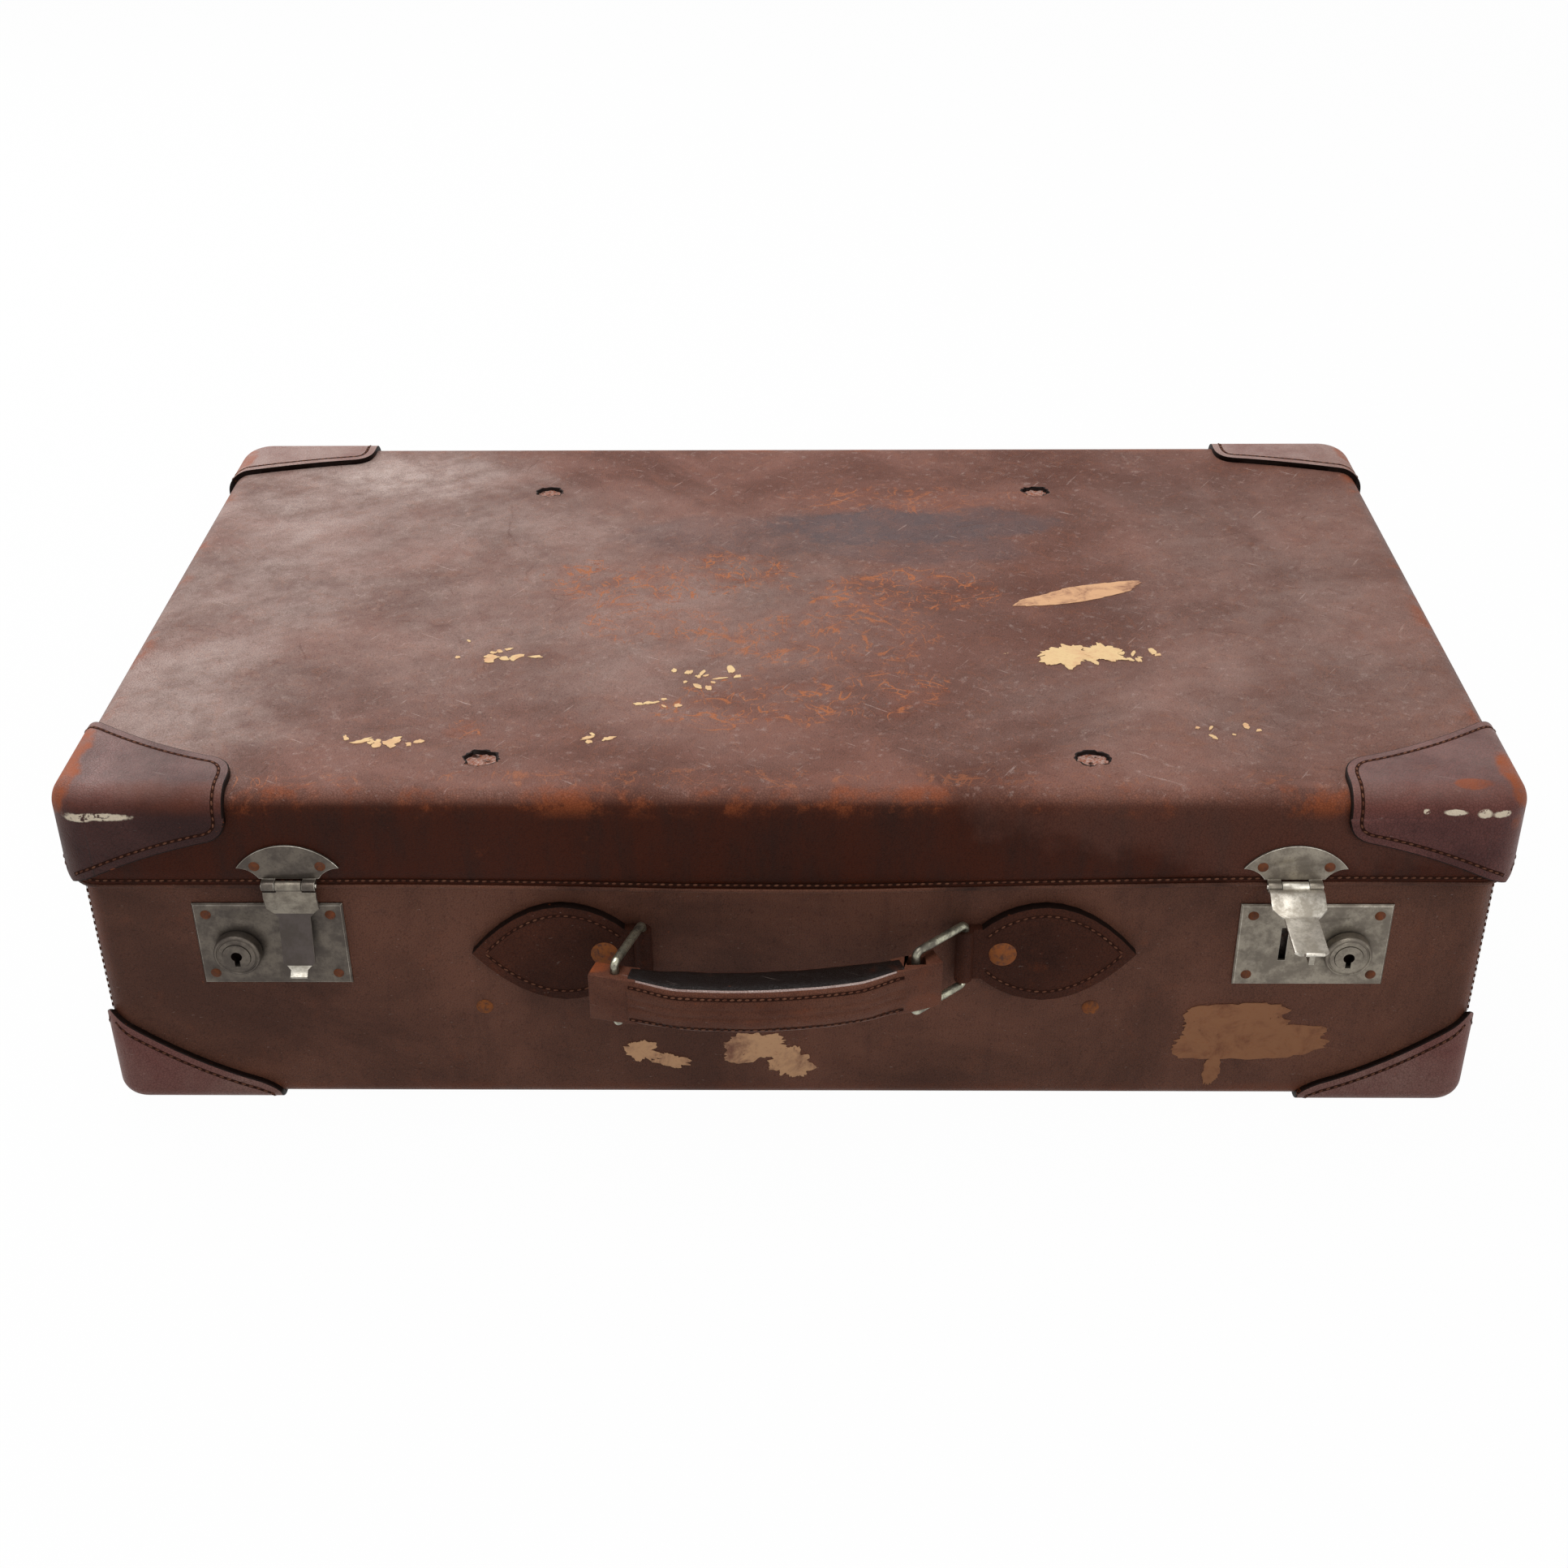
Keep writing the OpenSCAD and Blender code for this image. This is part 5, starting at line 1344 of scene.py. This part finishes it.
BARS = (spot_at(-76.918, -230.757).xy, spot_at(59.097, -222.324).xy)
GRIP_BOW = 10 * MM
GRIP_HALF = Vector((10.3, 12.4)) * MM
END_HALF = Vector((5.25, 12.25)) * MM
# How far the grip ends short of its bars
GRIP_SHORT = 7 * MM
GRIP_LOOPS = 60
GRIP_SIDES = 72
# Degrees round the grip from straight out: its seams, its creases, its waxed top and the band in front of it,
# which holds a painted highlight
SEAM_TILTS = (36, -38)
CREASE_TILTS = (9, -10, *SEAM_TILTS)
WAX_FROM, WAX_TO = 55, 125
HIGHLIGHT_FROM = 50


class SUITCASE_OT_handle(bpy.types.Operator):
    """Rolled leather grip, its flat ends, its seams and the wire loops"""

    bl_idname = "suitcase.handle"
    bl_label = "Handle"

    def execute(self, context):
        span = BARS[1] - BARS[0]
        self.radius = ((span.length / 2) ** 2 + GRIP_BOW ** 2) / (2 * GRIP_BOW)
        self.yaw = math.atan2(span.y, span.x)
        middle = (BARS[0] + BARS[1]) / 2
        self.centre = middle + Vector((-math.sin(self.yaw), math.cos(self.yaw))) * (self.radius - GRIP_BOW)
        self.reach = math.asin(span.length / 2 / self.radius) - GRIP_SHORT / self.radius
        self.grip()
        for side in SIDES:
            node = f"handle_end_{side}"
            bm = copy_of(node)
            round_edges(bm, sharp_edges(bm, 60), 1.8 * MM)
            finish_piece(f"{node}_leather", bm, "handle", "handle", [node], 35)
            copy_piece(f"handle_loop_{side}", "nickel", 0)
        bm = bmesh.new()
        for tilt in SEAM_TILTS:
            path = [self.spot(angle, math.radians(tilt)) for angle in self.angles(0.99)]
            sew(bm, path, pitch=sizes().stitch_pitch * 0.9)
        finish_piece("handle_thread", bm, SEAM, "handle")
        return {"FINISHED"}

    def angles(self, share=1.0):
        return [self.reach * share * (2 * i / GRIP_LOOPS - 1) for i in range(GRIP_LOOPS + 1)]

    def axis(self, angle):
        """The grip's middle line: its point and its outward direction."""
        turn = self.yaw - math.pi / 2 + angle
        out = Vector((math.cos(turn), math.sin(turn), 0))
        return Vector((self.centre.x, self.centre.y, HANDLE_Z)) + out * self.radius, out

    def section(self, angle):
        """Half thickness, half height and squareness of the grip's section."""
        flat = smooth(self.reach - 24 * MM / self.radius, self.reach, abs(angle))
        swell = 1 - 0.06 * (angle / self.reach) ** 2
        thick = GRIP_HALF.x * swell * (1 - flat) + (END_HALF.x + 0.8 * MM) * flat
        high = GRIP_HALF.y * swell * (1 - flat) + (END_HALF.y + 0.5 * MM) * flat
        return thick, high, 3.6 + 0.8 * flat

    def spot(self, angle, tilt):
        """A point of the grip's skin, seen round its section from straight out, with its normal."""
        point, out = self.axis(angle)
        thick, high, power = self.section(angle)
        c, n = math.cos(tilt), math.sin(tilt)
        r = (abs(c) ** power + abs(n) ** power) ** (-1 / power)
        up = Vector((0, 0, 1))
        normal = out * c * abs(c) ** (power - 2) / thick + up * n * abs(n) ** (power - 2) / high
        return point + out * c * r * thick + up * n * r * high, normal.normalized()

    def grip(self):
        bm = bmesh.new()
        ring = bmesh.ops.create_circle(bm, segments=GRIP_SIDES, radius=1)["verts"]
        first = edges = around(ring)
        tilts = {}
        for k, angle in enumerate(self.angles()):
            if k:
                fresh, edges, _ = grow(bm, edges)
                order = {}
                for v in fresh:
                    before = next(e.other_vert(v) for e in v.link_edges if e.other_vert(v) not in fresh)
                    order[before] = v
                ring = [order[v] for v in ring]
            for i, v in enumerate(ring):
                turn = math.tau * i / GRIP_SIDES
                point, normal = self.spot(angle, turn)
                tilts[v] = math.degrees(turn) - (360 if turn > math.pi else 0)
                dimple = 0.3 * MM * wobble((angle * self.radius, i * 0.9 * MM, 0), 9 * MM, 11)
                crease = max(smooth(5, 0, abs(tilts[v] - t)) for t in CREASE_TILTS)
                v.co = point + normal * (dimple - 0.45 * MM * crease)
        for end in (first, edges):
            bmesh.ops.contextual_create(bm, geom=end)
        for f in bm.faces:
            tilt = sum(tilts[v] for v in f.verts) / len(f.verts)
            # Faces just in front of the waxed top take the painted highlight.
            f.material_index = 1 if WAX_FROM < tilt < WAX_TO else 2 if HIGHLIGHT_FROM < tilt < WAX_FROM else 0
        nodes = ["handle_grip", "handle_core"]
        finish_piece("handle_grip_leather", bm, "handle waxed ridge", "handle", nodes, 50)


# Name, finish, body, place, half size, turn, raggedness, squareness and seed
REMNANTS = (
    ("lid_paper_strip", "paper", "lid", (153, 1), (37, 9), 21, 0.3, 1.5, 21),
    ("lid_scrap_a", "cream", "lid", (138, -69), (12, 9), 10, 0.8, 2, 22),
    ("lid_scrap_b", "cream", "lid", (156, -66), (9, 7), -25, 0.9, 2, 23),
    ("base_label_upper", "label", "base", (214, 51), (25, 9.5), 2, 0.35, 4, 29),
    ("base_label_torn", "label", "base", (220, 37), (35, 10), 3, 0.3, 4, 25),
    ("base_label_tail", "label", "base", (205, 20), (4, 9), -8, 0.6, 2, 30),
    ("base_scrap_a", "paper", "base", (-70, 31), (8, 5.5), -24, 0.8, 2, 26),
    ("base_scrap_b", "paper", "base", (-56, 25), (9, 3.5), -12, 0.9, 2, 31),
    ("base_scrap_c", "paper", "base", (-15, 33), (15, 8), 5, 0.7, 3, 27),
    ("base_scrap_d", "paper", "base", (2, 24), (9, 9), 30, 0.8, 2, 32),
)
# Middle, half width and half depth of a cluster of flecks, how many there are, and their size
FLECKS = (
    (-140, -69, 15, 6, 10, 2.6), (-186, -152, 21, 4, 14, 2.8), (-40, -93, 19, 13, 14, 2.4),
    (-61, -116, 12, 6, 6, 2), (-86, -149, 10, 4, 5, 2), (140, -70, 24, 10, 16, 3.6),
    (172, -70, 14, 6, 8, 2.2), (202, -144, 22, 8, 7, 1.7), (-150, -62, 26, 10, 5, 1.6),
)
SHEET = 0.2 * MM
# A torn outline's waves, coarse to fine: share and fineness
RAGS = ((0.55, 1.6), (0.35, 5), (0.2, 16))


class SUITCASE_OT_remnants(bpy.types.Operator):
    """Torn scraps of plain paper on the lid's top and the base's front"""

    bl_idname = "suitcase.remnants"
    bl_label = "Paper remnants"

    def execute(self, context):
        for i, (name, finish, body, spot, *shape) in enumerate(REMNANTS):
            bm = bmesh.new()
            self.torn(bm, *shape, 90)
            stick = self.lay if body == "lid" else self.hang
            stick(bm, spot, 0.07 * MM * (i % 4))
            finish_piece(name, bm, finish, body, sharp=60)
        many = bmesh.new()
        for x, y, wide, deep, count, size in FLECKS:
            for i in range(count):
                seed = i * 1.7 + x * 0.013 + y * 0.029
                away = [noise.noise(Vector((seed, k * 3.3, 1.7))) * 1.7 for k in range(4)]
                reach = (size * (1 + 0.7 * away[2]), size * (0.6 + 0.4 * away[3]))
                few = bmesh.new()
                self.torn(few, reach, 120 * away[1], 0.9, 2, seed, 14)
                self.lay(few, (x + wide * away[0], y + deep * away[1]))
                pour(few, many)
                few.free()
        finish_piece("lid_paper_flecks", many, "cream", "lid", sharp=60)
        return {"FINISHED"}

    def torn(self, bm, reach, turn, ragged, square, seed, count):
        """A ragged sheet about the origin: square is 2 for an oval, more for a block, less for a leaf."""
        bmesh.ops.create_circle(bm, cap_ends=True, segments=count, radius=1)
        for v in bm.verts:
            way = v.co.normalized()
            full = (abs(way.x) ** square + abs(way.y) ** square) ** (-1 / square)
            rag = sum(share * wobble(way * fine, 1, seed) for share, fine in RAGS)
            v.co = way * full * max(0.25, 1 + ragged * rag)
        size = Matrix.Diagonal((reach[0] * MM, reach[1] * MM, 1, 1))
        bmesh.ops.transform(bm, matrix=Matrix.Rotation(math.radians(turn), 4, "Z") @ size, verts=bm.verts[:])
        raised = bmesh.ops.extrude_face_region(bm, geom=bm.faces[:])["geom"]
        upper = [part for part in raised if isinstance(part, bmesh.types.BMVert)]
        bmesh.ops.translate(bm, vec=(0, 0, SHEET), verts=upper)

    def lay(self, bm, spot, lift=0.0):
        """Lays a sheet on the lid's top, dents and all."""
        at = spot_at(*spot)
        for v in bm.verts:
            v.co += Vector((at.x, at.y, LID_HIGH.z + 0.05 * MM + lift))
            v.co.z += top_dent(v.co.x, v.co.y)

    def hang(self, bm, spot, lift):
        """Sets a sheet upright on the base's front wall, sunk as the wall is."""
        at = Matrix.Translation((spot[0] * MM, BASE_LOW.y - lift, spot[1] * MM))
        bmesh.ops.transform(bm, matrix=at @ Matrix.Rotation(math.pi / 2, 4, "X"), verts=bm.verts[:])
        for v in bm.verts:
            v.co.y += front_sink(v.co.x, BASE_LOW.y, v.co.z)


# The stage

# Name, place, target, size and watts
LAMPS = (
    ("key lamp", (-0.4, 0.1, 2.4), (0.0, 0.05, 0.1), (2.2, 1.6), 48),
    ("rear lamp", (-1.3, 1.5, 1.3), (-0.15, 0.15, 0.15), (1.4, 1.0), 24),
    ("front lamp", (1.4, -1.9, 0.95), (0.1, 0, 0.08), (1.6, 1.2), 13),
)
CAMERA_AT = spot_at(14, -989, 675)
# Yaw, pitch and roll in degrees
CAMERA_TURN = (-1.04, 31.85, -0.54)
CAMERA_LENS = 48.24


class SUITCASE_OT_stage(bpy.types.Operator):
    """Pale floor, soft studio lamps and the camera"""

    bl_idname = "suitcase.stage"
    bl_label = "Stage"

    def execute(self, context):
        scene = context.scene
        scene.view_settings.view_transform = "Standard"
        self.floor()
        self.world(scene)
        for lamp in LAMPS:
            self.lamp(scene, *lamp)
        self.camera(scene)
        return {"FINISHED"}

    def floor(self):
        bm = bmesh.new()
        bmesh.ops.create_grid(bm, x_segments=1, y_segments=1, size=30)
        floor = object_from("floor", bm)
        material = bpy.data.materials.new("pale floor")
        g = Graph(emptied(material))
        matt = g.add("BsdfDiffuse", {"Color": (0.6, 0.6, 0.6, 1)}).outputs[0]
        glow = g.add("Emission", {"Color": (1, 1, 1, 1), "Strength": 1.0}).outputs[0]
        mixed = g.add("MixShader", {0: g.times(g.seen(), 0.98), 1: matt, 2: glow}).outputs[0]
        g.add("OutputMaterial", {"Surface": mixed})
        floor.data.materials.append(material)

    def world(self, scene):
        world = bpy.data.worlds.new("studio")
        scene.world = world
        g = Graph(emptied(world))
        strength = g.plus(g.times(g.seen(), 0.76), 0.24)
        back = g.add("Background", {"Color": (1, 1, 1, 1), "Strength": strength}).outputs[0]
        g.add("OutputWorld", {"Surface": back})

    def lamp(self, scene, name, place, target, size, watts):
        data = bpy.data.lights.new(name, "AREA")
        data.shape = "RECTANGLE"
        data.size, data.size_y = size
        data.energy = watts
        lamp = bpy.data.objects.new(name, data)
        lamp.location = place
        lamp.rotation_euler = (Vector(target) - Vector(place)).to_track_quat("-Z", "Y").to_euler()
        scene.collection.objects.link(lamp)

    def camera(self, scene):
        data = bpy.data.cameras.new("camera")
        data.sensor_width = 36
        data.lens = CAMERA_LENS
        camera = bpy.data.objects.new("camera", data)
        yaw, pitch, roll = (math.radians(a) for a in CAMERA_TURN)
        ahead = Vector((math.sin(yaw) * math.cos(pitch), math.cos(yaw) * math.cos(pitch), -math.sin(pitch)))
        right = Vector((math.cos(yaw), -math.sin(yaw), 0))
        up = right.cross(ahead)
        turned = math.cos(roll) * right + math.sin(roll) * up
        upright = math.cos(roll) * up - math.sin(roll) * right
        pose = Matrix((turned, upright, -ahead)).transposed().to_4x4()
        camera.matrix_world = Matrix.Translation(CAMERA_AT) @ pose
        scene.collection.objects.link(camera)
        scene.camera = camera


# The add-on

PIECES = (
    SUITCASE_OT_base, SUITCASE_OT_lid, SUITCASE_OT_linings, SUITCASE_OT_caps, SUITCASE_OT_tabs,
    SUITCASE_OT_locks, SUITCASE_OT_hasps, SUITCASE_OT_hinges, SUITCASE_OT_handle, SUITCASE_OT_remnants,
    SUITCASE_OT_stage,
)


class SUITCASE_PT_panel(bpy.types.Panel):
    """Lists the suitcase's pieces"""

    bl_idname = "SUITCASE_PT_panel"
    bl_label = "Suitcase"
    bl_space_type = "VIEW_3D"
    bl_region_type = "UI"
    bl_category = "Suitcase"

    def draw(self, context):
        column = self.layout.column()
        for piece in PIECES:
            column.operator(piece.bl_idname)
        for group in (context.scene.suitcase_sizes, context.scene.suitcase_colours):
            for key in group.__annotations__:
                column.prop(group, key)


CLASSES = (SuitcaseColours, SuitcaseSizes, *PIECES, SUITCASE_PT_panel)


def register():
    for cls in CLASSES:
        bpy.utils.register_class(cls)
    bpy.types.Scene.suitcase_colours = bpy.props.PointerProperty(type=SuitcaseColours)
    bpy.types.Scene.suitcase_sizes = bpy.props.PointerProperty(type=SuitcaseSizes)


def unregister():
    del bpy.types.Scene.suitcase_sizes
    del bpy.types.Scene.suitcase_colours
    for cls in reversed(CLASSES):
        bpy.utils.unregister_class(cls)


def main():
    register()
    make_finishes()
    for piece in PIECES:
        group, name = piece.bl_idname.split(".")
        if getattr(getattr(bpy.ops, group), name)() != {"FINISHED"}:
            raise RuntimeError(f"{piece.bl_label} wasn't made")


if __name__ == "__main__":
    main()
